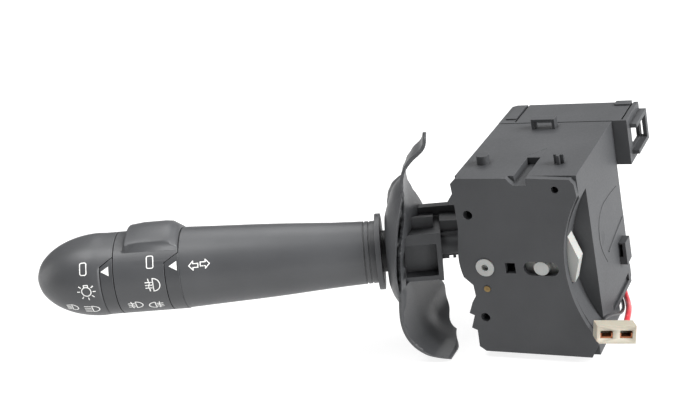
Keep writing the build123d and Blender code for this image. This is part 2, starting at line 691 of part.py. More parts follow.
def base_plate():
    """Rear plate with trunnion bearing, openings and screw bosses."""
    plate = box(LEFT, RIGHT, SEAM_Y, SEAM_Y + BASE_FLANGE, BOTTOM, TOP)
    plate += slab_y(base_outline(), SEAM_Y + BASE_FLANGE, BASE_BACK)
    plate += rod_y(6.0, BASE_BACK, BASE_BACK + 0.6, 14.0, 2.5) - rod_y(4.6, 40, 60, 14.0, 2.5)
    plate -= rod_y(TRUNNION_R + RUNNING, SEAM_Y - 1, BASE_BACK + 1)
    for x, z, r in ((-0.5, -30.2, 0.9), (16.5, -23.2, 1.4), (31.2, -20.7, 1.2), (34.0, 10.8, 1.0),
                    (4.5, -11.0, 1.6), (9.5, -14.0, 1.0), (23.5, -12.5, 1.2), (28.5, 4.5, 1.2)):
        plate -= rod_y(r, BASE_BACK - 1.6, BASE_BACK + 2, x, z)
    plate -= box(-2.6, -1.5, BASE_BACK - 1.8, BASE_BACK + 1, -21.0, -5.5)
    plate -= box(10.4, 11.5, BASE_BACK - 1.8, BASE_BACK + 1, -9.5, -6.5)
    plate -= box(10.2, 14.0, BASE_BACK - 1.2, BASE_BACK + 1, -24.5, -19.6)
    window = polygon((1.8, -21.2), (7.2, -20.9), (10.3, -14.6), (9.6, -13.2), (2.7, -12.9))
    plate -= slab_y(window, BASE_BACK - 1.2, BASE_BACK + 1)
    for x in (22.3, 26.8, 31.2):
        plate -= box(x - 0.6, x + 0.6, BASE_BACK - 1.6, BASE_BACK + 1, 11.9, 14.5)
    plate -= box(0.6, 5.4, BASE_BACK - 1.2, BASE_BACK + 1, 13.0, 16.0)
    plate -= rod_y(SCREW_R, BASE_BACK - SCREW_DEPTH, BASE_BACK + 1, BASE_SCREW_X, BASE_SCREW_Z)
    walls, step = wire_step()
    return plate - step - blade_slots(SEAM_Y - 1, BASE_BACK + 1)


def blade_places():
    """Return the (x, z) of each blade; the upper row leaves one place empty."""
    places = []
    for row, z in enumerate((BLADE_ROW_HIGH, BLADE_ROW_LOW)):
        for i in range(7):
            if not (row == 1 and i == 1):
                places.append((BLADE_FIRST_X + i * BLADE_PITCH, z))
    return places


def blade_slots(y0, y1):
    """Return the holes that the blades pass through."""
    slots = None
    for x, z in blade_places():
        slot = box(x - BLADE_WIDTH / 2, x + BLADE_WIDTH / 2, y0, y1, z - BLADE_THICK / 2,
                   z + BLADE_THICK / 2)
        slots = slot if slots is None else slots + slot
    return slots


def blade(x, z):
    """One terminal blade with a tapered tip."""
    half = BLADE_WIDTH / 2
    outline = polygon((x - half, SEAM_Y), (x + half, SEAM_Y), (x + half, BLADE_TIP - 1),
                      (x + half - 0.7, BLADE_TIP), (x - half + 0.7, BLADE_TIP),
                      (x - half, BLADE_TIP - 1))
    return Pos(0, 0, z - BLADE_THICK / 2) * extrude(outline, amount=BLADE_THICK)


def connector_shroud():
    """Connector shroud with its floor, top details and latch loop."""
    front = SEAM_Y + BASE_FLANGE
    wall = SHROUD_WALL
    shroud = box(SHROUD_LEFT, SHROUD_RIGHT, front, DEPTH, SHROUD_BOTTOM, SHROUD_TOP)
    shroud -= box(SHROUD_LEFT + wall, SHROUD_RIGHT - wall, front + SHROUD_FLOOR, DEPTH + 1,
                  SHROUD_BOTTOM + wall, SHROUD_TOP - wall)
    shroud -= blade_slots(front - 1, front + SHROUD_FLOOR + 1)
    shroud -= box(-0.3, 0.3, front + 1, DEPTH + 1, SHROUD_TOP - 0.6, SHROUD_TOP + 1)
    shroud -= box(38.6, 39.2, front + 1, DEPTH + 1, SHROUD_TOP - 0.6, SHROUD_TOP + 1)
    shroud += box(-4.2, -0.3, front + 3, DEPTH - 2, SHROUD_TOP, SHROUD_TOP + 0.5)
    shroud += box(33.0, 38.6, DEPTH - 3.5, DEPTH, SHROUD_TOP, SHROUD_TOP + 0.6)
    shroud -= box(39.0, 42.0, front + 4.5, DEPTH - 2.5, 21.3, 29.3)
    for low in (19.5, 29.4):
        shroud += box(SHROUD_RIGHT, LATCH_RIGHT, front + 3, DEPTH, low, low + 1.5)
    shroud += box(LATCH_RIGHT - 1.4, LATCH_RIGHT, DEPTH - 2.2, DEPTH, 19.5, 30.9)
    corner = Pos(0, 0, SHROUD_BOTTOM - 1) * extrude(
        polygon((SHROUD_LEFT - 1, 63.0), (-3.6, DEPTH + 0.6), (SHROUD_LEFT - 1, DEPTH + 0.6)),
        amount=20)
    return shroud - (corner & box(-9, 0, 60, 70, SHROUD_TOP - 1.0, 40))


def copper_tracks():
    """Copper strips that show in the openings of the base plate."""
    upper = box(10.6, 13.6, BASE_BACK - 1.2, BASE_BACK - 0.9, -24.0, -20.0)
    middle = slab_y(polygon((2.4, -20.2), (6.6, -20.0), (9.2, -14.8), (3.2, -13.6)),
                    BASE_BACK - 1.2, BASE_BACK - 0.9)
    lower = box(1.0, 5.0, BASE_BACK - 1.2, BASE_BACK - 0.9, 13.1, BASE_TOP)
    return {"copper_track_upper": upper, "copper_track_middle": middle, "copper_track_lower": lower}


def base_screw():
    """Screw that holds the base plate."""
    screw = rod_y(SCREW_R, BASE_BACK - SCREW_DEPTH, BASE_BACK - 0.2, BASE_SCREW_X, BASE_SCREW_Z)
    return screw - box(BASE_SCREW_X - SCREW_R, BASE_SCREW_X + SCREW_R, BASE_BACK - 0.6, BASE_BACK,
                       BASE_SCREW_Z - 0.2, BASE_SCREW_Z + 0.2)


def wire_clip():
    """Clip at the foot of the base plate that holds the two pigtails."""
    clip = box(23.9, 33.3, BASE_BACK, BASE_BACK + CLIP_DEPTH + 1.2, STEP_TOP - 2.4, STEP_TOP + 2.5)
    return clip - box(24.9, 32.3, BASE_BACK - 1, BASE_BACK + CLIP_DEPTH, STEP_TOP - 3, STEP_TOP + 3)


# Wires

JOINTS = {"black": (17.3, -9.4), "red": (27.2, -1.0), "thin_black": (5.2, 3.8),
          "thin_white": (5.0, 7.3), "thin_purple": (-3.3, 11.3)}


def solder_joints():
    """Soldered ends on the base plate, one for each wire."""
    joints = None
    for x, z in JOINTS.values():
        joint = rod_y(JOINT_R, BASE_BACK, BASE_BACK + JOINT_H, x, z)
        joints = joint if joints is None else joints + joint
    return joints


def cord(name, points, diameter):
    """Sweep a round cord along straight runs joined by the widest arcs."""
    radii = []
    vectors = [Vector(*p) for p in points]
    for a, b, c in zip(vectors, vectors[1:], vectors[2:]):
        turn = (b - a).get_angle(c - b)
        shorter = min((b - a).length, (c - b).length)
        radii.append(0.45 * shorter / math.tan(math.radians(turn / 2)))
    path = FilletPolyline(*points, radius=radii)
    start = Plane(path @ 0, z_dir=path % 0)
    tube = sweep(start * Circle(diameter / 2), path)
    length = path.length
    ratio = tube.volume / (math.pi * diameter ** 2 / 4 * length)
    print(name, "length", round(length, 1), "volume ratio", round(ratio, 4),
          "smallest radius in diameters", round(min(radii) / diameter, 1),
          "radii", [round(r, 1) for r in radii])
    return tube


def joint_end(key):
    """Return the point where a wire leaves its solder joint."""
    x, z = JOINTS[key]
    return (x, BASE_BACK + JOINT_H, z)


def plug_frame():
    """Return the plug's own frame: X along its length, -Y out of its mouth."""
    return Pos(*PLUG_PLACE) * Rot(0, 0, PLUG_TURN)


def plug_point(offset, back):
    """Return a point behind the plug's middle, in line with one of its ways."""
    place = (plug_frame() * Pos(offset, back, 0)).position
    return (place.X, place.Y, place.Z)


def plug_approach(offset, run):
    """Return the last two points of a pigtail, square to the back of the plug."""
    return [plug_point(offset, PLUG_DEPTH / 2 + run), plug_point(offset, PLUG_DEPTH / 2)]


def wires():
    """Pigtails to the loose plug, and the thin wires from the stalk."""
    red = [joint_end("red"), (27.2, 53.6, -1.0), (27.2, 55.6, -3.6), (27.3, 56.3, -8.6),
           (27.6, 55.8, -15.8), (28.2, 54.3, -22.9), (28.7, 53.4, -27.8), (29.6, 51.9, -30.5),
           (30.9, 49.65, -32.3), (32.65, 46.6, -33.2), (34.6, 41.6, -32.9), (37.0, 35.4, -31.8),
           (39.0, 29.0, -29.8), (40.9, 22.2, -26.6), (42.0, 15.2, -22.4),
           *plug_approach(PLUG_LENGTH / 4, 6.0)]
    black = [joint_end("black"), (17.3, 52.6, -9.4), (17.7, 54.0, -11.2), (18.8, 54.4, -14.8),
             (21.7, 53.9, -20.4), (25.2, 52.8, -25.8), (26.6, 51.8, -30.2), (28.2, 49.2, -32.4),
             (31.0, 44.8, -33.2), (33.8, 39.2, -33.2), (35.9, 33.2, -32.2), (37.5, 27.0, -30.4),
             (38.9, 19.0, -27.0), (38.6, 10.6, -22.4), *plug_approach(-PLUG_LENGTH / 4, 4.4)]
    thin = [joint_end("thin_black"), (5.2, 52.3, 3.8), (7.2, 53.0, 3.6), (10.6, 52.9, 5.8),
            (14.6, 52.8, 7.4), (19.2, 52.8, 7.3), (22.9, 52.8, 4.8), (24.2, 52.8, 0.8),
            (22.4, 52.8, -2.8), (18.6, 52.8, -4.6), (13.6, 52.7, -4.2), (7.6, 52.6, -1.2),
            (1.6, 52.6, 2.2), (-3.2, 52.2, 4.6), (-6.9, 50.4, 5.2), (-8.3, 46.6, 5.2),
            (-8.3, 42.6, 5.2), (-6.3, WIRE_END_Y, 5.2)]
    white = [joint_end("thin_white"), (5.0, 52.6, 7.3), (6.4, 53.9, 7.4), (9.4, 54.3, 8.6),
             (14.0, 54.4, 10.4), (19.0, 54.4, 10.2), (23.2, 54.4, 7.2), (25.0, 54.4, 2.4),
             (23.2, 54.4, -2.2), (18.8, 54.4, -5.0), (12.6, 54.4, -6.2), (6.0, 54.4, -5.2),
             (0.6, 54.2, -2.2), (-3.6, 53.2, 1.6), (-7.0, 50.8, 3.4), (-8.4, 46.8, 3.4),
             (-8.4, 42.8, 3.4), (-6.4, WIRE_END_Y, 3.4)]
    purple = [joint_end("thin_purple"), (-3.3, 53.4, 11.3), (-1.6, 55.2, 11.0), (2.4, 55.8, 10.6),
              (7.2, 55.9, 11.6), (12.6, 55.9, 13.0), (18.0, 55.9, 12.8), (22.6, 55.9, 10.2),
              (25.3, 55.9, 5.4), (25.3, 55.9, 0.2), (22.4, 55.9, -4.0), (17.4, 55.9, -6.4),
              (11.6, 55.9, -7.2), (5.8, 55.9, -6.2), (0.0, 55.8, -4.0), (-4.2, 54.6, -1.0),
              (-7.2, 51.6, 1.4), (-8.4, 47.2, 1.6), (-8.4, 43.0, 1.6), (-6.4, WIRE_END_Y, 1.6)]
    return {
        "red_pigtail": cord("red_pigtail", red, RED_D),
        "black_pigtail": cord("black_pigtail", black, BLACK_D),
        "thin_wire_black": cord("thin_wire_black", thin, THIN_D),
        "thin_wire_white": cord("thin_wire_white", white, WHITE_D),
        "thin_wire_purple": cord("thin_wire_purple", purple, THIN_D),
    }


def plug():
    """Loose two way plug with a cut lower corner."""
    length, depth, height = PLUG_LENGTH, PLUG_DEPTH, PLUG_HEIGHT
    body = box(-length / 2, length / 2, -depth / 2, depth / 2, -height / 2, height / 2)
    corner = polygon((-length / 2 - 1, -height / 2 - 1), (-length / 2 + 2, -height / 2 - 1),
                     (-length / 2 - 1, -height / 2 + 2))
    body -= extrude(Plane.XZ * corner, amount=depth / 2 + 1, both=True)
    for x in (-length / 4, length / 4):
        body -= box(x - PLUG_BORE / 2, x + PLUG_BORE / 2, -depth / 2 - 1, depth / 2 - 2.5, -1.6, 1.8)
    return plug_frame() * body


def plug_terminal(offset):
    """Folded copper socket in one way of the plug."""
    half = PLUG_BORE / 2
    depth = PLUG_DEPTH
    socket = box(offset - half, offset + half, -depth / 2 + 0.8, depth / 2 - 2.5, -1.6, -1.0)
    for x0, x1 in ((-half, -half + 0.5), (half - 0.5, half)):
        socket += box(offset + x0, offset + x1, -depth / 2 + 0.8, depth / 2 - 2.5, -1.0, 0.6)
    return plug_frame() * socket


PARTS = {}


def main():
    """Build every piece and write one STEP file for each."""
    os.makedirs("parts", exist_ok=True)
    light_end = KNOB_EDGE - BODY_GAP
    PARTS["end_knob"] = end_knob()
    PARTS["light_pointer_band"] = light_pointer_band()
    PARTS["fog_ring"] = fog_ring()
    PARTS["fog_pointer_band"] = fog_pointer_band()
    PARTS["stalk_sleeve"] = stalk_sleeve()
    PARTS["core_tube"] = core_tube()
    PARTS["light_drive_shaft"] = light_drive_shaft()
    PARTS["fog_contact_plate"] = fog_contact_plate()
    PARTS["fog_contact_carrier"] = fog_contact_carrier()
    PARTS["knob_detent_ball"] = detent_ball(light_end)
    PARTS["knob_detent_spring"] = detent_spring(LIGHT_BAND_START, light_end)
    PARTS["ring_detent_ball"] = detent_ball(FOG_BAND_END)
    PARTS["ring_detent_spring"] = detent_spring(FOG_BAND_START, FOG_BAND_END)
    PARTS["shield"] = shield()
    PARTS["lever_arm"] = lever_arm()
    PARTS["detent_plunger"] = detent_plunger()
    PARTS["plunger_spring"] = plunger_spring()
    PARTS["carrier_yoke"] = carrier_yoke()
    PARTS["pivot_bush"] = pivot_bush()
    PARTS["flash_pivot_pin"] = flash_pivot_pin()
    PARTS["housing"] = housing()
    PARTS["rivet"] = rivet()
    PARTS["cancel_finger"] = cancel_finger()
    PARTS["cancel_spring"] = cancel_spring()
    PARTS["detent_cam"] = detent_cam()
    PARTS["contact_board"] = contact_board()
    PARTS["indicator_slider"] = indicator_slider()
    PARTS["base_plate"] = base_plate()
    PARTS["connector_shroud"] = connector_shroud()
    for number, (x, z) in enumerate(blade_places(), start=1):
        PARTS[f"blade_{number:02d}"] = blade(x, z)
    PARTS.update(copper_tracks())
    PARTS["base_screw"] = base_screw()
    PARTS["wire_clip"] = wire_clip()
    PARTS["solder_joints"] = solder_joints()
    PARTS.update(wires())
    PARTS["plug"] = plug()
    PARTS["plug_terminal_left"] = plug_terminal(-PLUG_LENGTH / 4)
    PARTS["plug_terminal_right"] = plug_terminal(PLUG_LENGTH / 4)
    for name, shape in PARTS.items():
        export_step(shape, f"parts/{name}.step")


if __name__ == "__main__":
    main()
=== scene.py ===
import logging
import math
from dataclasses import dataclass, field
from enum import Enum
from functools import cache
from typing import Any, Iterable, Sequence

import bmesh
import bpy
from mathutils import Matrix, Vector
from mathutils.bvhtree import BVHTree


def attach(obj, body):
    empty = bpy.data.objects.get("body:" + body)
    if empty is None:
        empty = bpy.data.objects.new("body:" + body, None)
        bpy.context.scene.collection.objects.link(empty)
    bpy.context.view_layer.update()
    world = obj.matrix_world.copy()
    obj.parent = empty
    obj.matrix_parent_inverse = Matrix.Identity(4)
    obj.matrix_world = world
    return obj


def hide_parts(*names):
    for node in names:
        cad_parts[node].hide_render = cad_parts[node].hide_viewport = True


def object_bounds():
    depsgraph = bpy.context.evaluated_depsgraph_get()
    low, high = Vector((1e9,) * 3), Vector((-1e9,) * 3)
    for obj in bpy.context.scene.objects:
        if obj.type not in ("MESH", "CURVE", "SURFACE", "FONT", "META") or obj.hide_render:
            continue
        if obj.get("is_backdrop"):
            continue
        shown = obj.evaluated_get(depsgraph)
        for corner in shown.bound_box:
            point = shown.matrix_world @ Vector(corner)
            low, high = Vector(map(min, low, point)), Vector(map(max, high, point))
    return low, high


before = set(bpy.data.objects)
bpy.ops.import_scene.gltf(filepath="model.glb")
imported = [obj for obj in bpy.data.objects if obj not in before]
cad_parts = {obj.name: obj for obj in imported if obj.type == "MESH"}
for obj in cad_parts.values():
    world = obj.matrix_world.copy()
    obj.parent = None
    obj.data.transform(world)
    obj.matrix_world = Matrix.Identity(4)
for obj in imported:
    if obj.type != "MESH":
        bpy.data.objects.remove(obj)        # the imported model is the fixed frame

log = logging.getLogger("stalk_switch")

MM = 0.001
FLOOR_GAP = 0.0005      # metres under the object
Pair = tuple[float, float]
Line = list[Pair]
Place = tuple[float, float, float]
Plane = tuple[Vector, Vector]
Socket = bpy.types.NodeSocket
Settings = dict[str | int, Any]
Links = dict[str | int, Socket]


def linear(tone: str) -> tuple[float, float, float, float]:
    """Turn an sRGB colour into linear light.

    Args:
        tone: Colour as "#rrggbb".

    Returns:
        Red, green, blue and alpha for a shader socket.
    """
    parts = [int(tone[i:i + 2], 16) / 255 for i in (1, 3, 5)]
    light = [p / 12.92 if p <= 0.04045 else ((p + 0.055) / 1.055) ** 2.4 for p in parts]
    return (*light, 1.0)


class Layers:
    """Node tree of one material, laid down layer by layer."""

    def __init__(self, tree: bpy.types.NodeTree) -> None:
        """Start with an empty tree.

        Args:
            tree: Node tree of the material.
        """
        tree.nodes.clear()
        self.tree = tree
        self.place = self.node("ShaderNodeTexCoord").outputs["Object"]

    def node(self, kind: str, settings: Settings | None = None,
             links: Links | None = None) -> bpy.types.Node:
        """Add one node.

        Args:
            kind: Type name of the node.
            settings: Socket or property values; a number names a socket by its place.
            links: Output sockets that feed the node's sockets.

        Returns:
            The new node.
        """
        node = self.tree.nodes.new(kind)
        for name, value in (settings or {}).items():
            if isinstance(name, int) or name in node.inputs:
                node.inputs[name].default_value = value
            else:
                setattr(node, name, value)
        for name, source in (links or {}).items():
            self.tree.links.new(source, node.inputs[name])
        return node

    def noise(self, size_mm: float, detail: float, roughness: float = 0.5,
              place: Socket | None = None) -> Socket:
        """Add a cloudy pattern, 0 to 1.

        Args:
            size_mm: Size of its patches in mm.
            detail: How many finer layers it has.
            roughness: Weight of the finer layers.
            place: Place on the object, or None for its plain one.

        Returns:
            The pattern.
        """
        settings = {"Scale": 1 / (size_mm * MM), "Detail": detail, "Roughness": roughness}
        links = {"Vector": self.place if place is None else place}
        return self.node("ShaderNodeTexNoise", settings, links).outputs[0]

    def spread(self, value: Socket, start: Pair, end: Pair = (0.0, 1.0)) -> Socket:
        """Stretch one range of values to another.

        Args:
            value: The value.
            start: Two values that it takes.
            end: What they become.

        Returns:
            The stretched value.
        """
        settings = {"From Min": start[0], "From Max": start[1], "To Min": end[0], "To Max": end[1]}
        return self.node("ShaderNodeMapRange", settings, {"Value": value}).outputs[0]

    def blend(self, amount: Socket, first: str | Socket, second: str | Socket) -> Socket:
        """Blend two colours, each "#rrggbb" or made by the material.

        Args:
            amount: 0 for the first, 1 for the second.
            first: The first colour.
            second: The second colour.

        Returns:
            The blended colour.
        """
        node = self.node("ShaderNodeMix", {"data_type": "RGBA"}, {0: amount})
        for socket, colour in ((6, first), (7, second)):
            if isinstance(colour, str):
                node.inputs[socket].default_value = linear(colour)
            else:
                self.tree.links.new(colour, node.inputs[socket])
        return node.outputs[2]

    def bump(self, height: Socket, strength: float, depth_mm: float,
             normal: Socket | None = None) -> Socket:
        """Raise and sink the surface with a pattern.

        Args:
            height: The pattern.
            strength: How much of it shows.
            depth_mm: Its depth in mm.
            normal: Direction of the surface under it, or None for its own.

        Returns:
            The direction of the finished surface.
        """
        links = {"Height": height} | ({} if normal is None else {"Normal": normal})
        settings = {"Strength": strength, "Distance": depth_mm * MM}
        return self.node("ShaderNodeBump", settings, links).outputs[0]

    def surface(self, settings: Settings, links: Links) -> None:
        """Close the material with its surface.

        Args:
            settings: Values of the surface.
            links: Output sockets that feed it.
        """
        shader = self.node("ShaderNodeBsdfPrincipled", settings, links).outputs[0]
        self.node("ShaderNodeOutputMaterial", {}, {"Surface": shader})


@dataclass(frozen=True)
class Recipe:
    """A real material by its maker's name."""

    name: str

    def lay(self, on: Layers) -> None:
        """Lay the material's own layers on its tree."""

    def make(self) -> bpy.types.Material:
        """Build the material."""
        material = bpy.data.materials.new(self.name)
        material.use_nodes = True
        self.lay(Layers(material.node_tree))
        return material


@dataclass(frozen=True)
class MouldedPlastic(Recipe):
    """Injection moulded thermoplastic with a spark-eroded grain and softly worn edges.

    The grain gives the broad satin sheen, the slow mottle the uneven flow of the melt, and
    the edges catch the light where handling has polished them. Crevices get painted shade.
    """

    tone: str
    flow_tone: str
    edge_tone: str
    roughness: float
    grain_mm: float = 0.55      # coarser than the real 0.15 mm, so that it shows at this size
    grain_depth_mm: float = 0.02
    flow_mm: float = 24.0
    edge_mm: float = 0.25
    # Painted shade: how far and how dark the colour is darkened in crevices and between parts.
    painted_shade_mm: float = 1.6
    painted_shade_tone: str = "#0c0c0d"
    specular: float = 0.5
    subsurface: float = 0.0
    subsurface_mm: float = 2.0

    def lay(self, on: Layers) -> None:
        """Lay grain, mottle, worn edges, and painted shade that darkens the crevices."""
        grain = on.noise(self.grain_mm, 3.0, 0.6)
        flow = on.spread(on.noise(self.flow_mm, 4.0, 0.55), (0.35, 0.65))
        body = on.blend(flow, self.tone, self.flow_tone)
        rounded = on.node("ShaderNodeBevel",
                          {"samples": 4, "Radius": self.edge_mm * MM}).outputs[0]
        facing = on.node("ShaderNodeNewGeometry").outputs["Normal"]
        turned = on.node("ShaderNodeVectorMath", {"operation": "DOT_PRODUCT"},
                         {0: rounded, 1: facing}).outputs["Value"]
        worn = on.node("ShaderNodeMath", {"operation": "MULTIPLY"},
                       {0: on.spread(turned, (0.985, 0.86)), 1: grain}).outputs[0]
        colour = on.blend(worn, body, self.edge_tone)
        # Painted shade: ambient occlusion darkens the colour towards the shade tone in crevices and
        # between parts.
        painted_shade_mask = on.node("ShaderNodeAmbientOcclusion",
                          {"samples": 4, "Distance": self.painted_shade_mm * MM}).outputs["AO"]
        dressed = on.blend(on.spread(painted_shade_mask, (0.15, 0.75)), self.painted_shade_tone, colour)
        rough = on.spread(grain, (0.3, 0.7), (self.roughness - 0.05, self.roughness + 0.05))
        on.surface({"Specular IOR Level": self.specular, "IOR": 1.5,
                    "Subsurface Weight": self.subsurface,
                    "Subsurface Scale": self.subsurface_mm * MM},
                   {"Base Color": dressed, "Roughness": rough,
                    "Normal": on.bump(grain, 0.5, self.grain_depth_mm, rounded)})


@dataclass(frozen=True)
class DrawnMetal(Recipe):
    """Rolled, drawn or stamped metal with fine draw lines and a thin uneven tarnish."""

    tone: str
    tarnish_tone: str
    roughness: float
    line_mm: float = 0.3        # coarser than the real 0.05 mm draw lines, so that they show
    line_stretch: float = 0.06
    line_depth_mm: float = 0.02
    tarnish_mm: float = 4.0

    def lay(self, on: Layers) -> None:
        """Lay draw lines and tarnish."""
        drawn = on.node("ShaderNodeMapping", {"Scale": (1.0, self.line_stretch, 1.0)},
                        {"Vector": on.place}).outputs[0]
        lines = on.noise(self.line_mm, 2.0, place=drawn)
        patch = on.spread(on.noise(self.tarnish_mm, 5.0), (0.42, 0.7))
        rough = on.spread(lines, (0.3, 0.7), (self.roughness - 0.06, self.roughness + 0.1))
        on.surface({"Metallic": 1.0},
                   {"Base Color": on.blend(patch, self.tone, self.tarnish_tone),
                    "Roughness": rough, "Normal": on.bump(lines, 0.25, self.line_depth_mm)})


@dataclass(frozen=True)
class WireCoat(Recipe):
    """Extruded soft PVC insulation, smooth with a low gloss and faint scuffs and dust."""

    tone: str
    scuff_tone: str
    roughness: float = 0.42
    scuff_mm: float = 3.0
    scuff_depth_mm: float = 0.03

    def lay(self, on: Layers) -> None:
        """Lay scuffs and dust."""
        scuffs = on.noise(self.scuff_mm, 6.0, 0.7)
        colour = on.blend(on.spread(scuffs, (0.5, 0.75)), self.tone, self.scuff_tone)
        rough = on.spread(scuffs, (0.0, 1.0), (self.roughness - 0.08, self.roughness + 0.16))
        on.surface({"Coat Weight": 0.15, "Coat Roughness": 0.3},
                   {"Base Color": colour, "Roughness": rough,
                    "Normal": on.bump(scuffs, 0.2, self.scuff_depth_mm)})


@dataclass(frozen=True)
class PadPrintInk(Recipe):
    """White two-part pad printing ink: matt, thin, and slightly uneven over the grain."""

    tone: str
    thin_tone: str
    patch_mm: float = 0.8

    def lay(self, on: Layers) -> None:
        """Lay the thin patches."""
        patch = on.spread(on.noise(self.patch_mm, 3.0), (0.5, 0.8))
        on.surface({"Roughness": 0.6}, {"Base Color": on.blend(patch, self.tone, self.thin_tone)})


@dataclass(frozen=True)
class LightTable(Recipe):
    """Opal acrylic sweep lit from below, which keeps the floor nearly white in the shade."""

    tone: str
    glow_tone: str
    glow: float
    haze_mm: float = 1000 / 3

    def lay(self, on: Layers) -> None:
        """Lay the faint haze and the glow."""
        haze = on.noise(self.haze_mm, 2.0)
        on.surface({"Base Color": linear(self.tone), "Emission Strength": self.glow,
                    "Emission Color": linear(self.glow_tone)},
                   {"Roughness": on.spread(haze, (0.0, 1.0), (0.65, 0.8))})


class Finish(Enum):
    """Finishes of the switch, each with the maker's name of its material."""

    STALK = MouldedPlastic("abs_satin_grained_grey", "#3d3e40", "#434446", "#6a6b6d", 0.44)
    HOUSING = MouldedPlastic("pbt_glass_filled_grey", "#38393b", "#3e3f41", "#5e5f61", 0.56,
                             grain_mm=0.7, grain_depth_mm=0.025, specular=0.35)
    INNER = MouldedPlastic("pa66_black_moulded", "#1f2022", "#252628", "#424346", 0.5)
    BAND = MouldedPlastic("abs_band_dark_grey", "#37383a", "#3d3e40", "#5e5f61", 0.42)
    # The painted shade in the crevices of the nylon and the plug is a lighter tone.
    NYLON = MouldedPlastic("pa66_natural_white", "#a2a3a1", "#999a97", "#b2b3b1", 0.42,
                           painted_shade_tone="#6b6c6b", subsurface=0.1)
    PLUG = MouldedPlastic("pa66_natural_cream", "#a39d8f", "#989283", "#b3ada0", 0.44,
                          painted_shade_tone="#7a6650", subsurface=0.1)
    STEEL = DrawnMetal("spring_steel_drawn", "#b9babb", "#8f8d88", 0.3)
    BRASS = DrawnMetal("brass_cold_formed", "#7d6a48", "#5b4a30", 0.4)
    COPPER = DrawnMetal("copper_alloy_stamped", "#a8694a", "#7a4630", 0.36)
    SOLDER = DrawnMetal("tin_solder_bead", "#cfd0d0", "#9fa0a0", 0.26)
    RED = WireCoat("pvc_insulation_red", "#b3262f", "#c25258")
    BLACK = WireCoat("pvc_insulation_black", "#1d1e20", "#3c3d40")
    WHITE = WireCoat("pvc_insulation_white", "#dad6cc", "#c4bfb3")
    PURPLE = WireCoat("pvc_insulation_purple", "#5a4468", "#75607f")
    INK = PadPrintInk("pad_print_ink_white", "#e6e6e4", "#c8c8c6")
    FLOOR = LightTable("opal_acrylic_light_table", "#8e8e8e", "#ffffff", 0.82)

    @cache
    def material(self) -> bpy.types.Material:
        """Return the material of this finish, made at its first use."""
        return self.value.make()


@dataclass(frozen=True)
class StalkSpace:
    """The stalk's own space: X along it to the knob, Y to the driver, Z up, in metres."""

    pivot_y: float = 19.4
    yaw: float = 22.94
    pitch: float = 5.07
    outside_mm: float = 40.0

    def matrix(self) -> Matrix:
        """Give the stalk's space in the row frame.

        Returns:
            The matrix from stalk space to the row frame.
        """
        turn = Matrix.Rotation(math.radians(180 + self.yaw), 4, "Z")
        rise = Matrix.Rotation(math.radians(-self.pitch), 4, "Y")
        return Matrix.Translation((0, self.pivot_y * MM, 0)) @ turn @ rise

    def ray(self, along: float, angle: float) -> tuple[Vector, Vector]:
        """Give the line that runs inwards to the stalk's axis.

        Args:
            along: Distance along the stalk in mm.
            angle: Angle round it in degrees, 0 towards the driver and 90 up.

        Returns:
            A point well outside the stalk, and the outward direction.
        """
        a = math.radians(angle)
        space = self.matrix()
        out = space.to_3x3() @ Vector((0, math.cos(a), math.sin(a)))
        return space @ Vector((along * MM, 0, 0)) + out * (self.outside_mm * MM), out

    def local(self, point: Vector) -> tuple[Vector, float]:
        """Give a point's place in the stalk's space.

        Args:
            point: A point of the row frame in metres.

        Returns:
            The point in mm, and its distance from the axis in mm.
        """
        place = self.matrix().inverted() @ point / MM
        return place, math.hypot(place.y, place.z)

    def planes(self, places: Iterable[float]) -> list[Plane]:
        """Give planes across the stalk.

        Args:
            places: Distances along the stalk in mm.

        Returns:
            Place and normal of each plane.
        """
        space = self.matrix()
        normal = space.to_3x3() @ Vector((1, 0, 0))
        return [(space @ Vector((t * MM, 0, 0)), normal) for t in places]


def carrier_surface(names: Iterable[str]) -> BVHTree:
    """Gather the surface of some CAD nodes, to lay print on.

    Args:
        names: The CAD nodes.

    Returns:
        A tree that a ray can be cast on.
    """
    corners: list[Vector] = []
    faces: list[list[int]] = []
    for name in names:
        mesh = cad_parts[name].data
        start = len(corners)
        corners += [v.co.copy() for v in mesh.vertices]
        faces += [[start + i for i in p.vertices] for p in mesh.polygons]
    return BVHTree.FromPolygons(corners, faces)


def add_object(name: str, data: bpy.types.ID, material: bpy.types.Material) -> bpy.types.Object:
    """Give a mesh or a curve its finish and put it into the scene.

    Args:
        name: Name of the object.
        data: Its mesh or curve.
        material: Its finish.

    Returns:
        The new object.
    """
    data.materials.append(material)
    item = bpy.data.objects.new(name, data)
    bpy.context.scene.collection.objects.link(item)
    return item


def finished_object(name: str, shape: bmesh.types.BMesh, material: bpy.types.Material,
                    body: str, smooth: bool = True) -> bpy.types.Object:
    """Turn a bmesh into a piece of the object.

    Args:
        name: Name of the piece.
        shape: Its mesh in metres, in the row frame; it is freed.
        material: Its finish.
        body: CAD body that it moves with.
        smooth: True where its faces are shaded as one round surface.

    Returns:
        The new piece.
    """
    mesh = bpy.data.meshes.new(name)
    shape.to_mesh(mesh)
    shape.free()
    mesh.polygons.foreach_set("use_smooth", [smooth] * len(mesh.polygons))
    piece = add_object(name, mesh, material)
    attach(piece, body)
    return piece


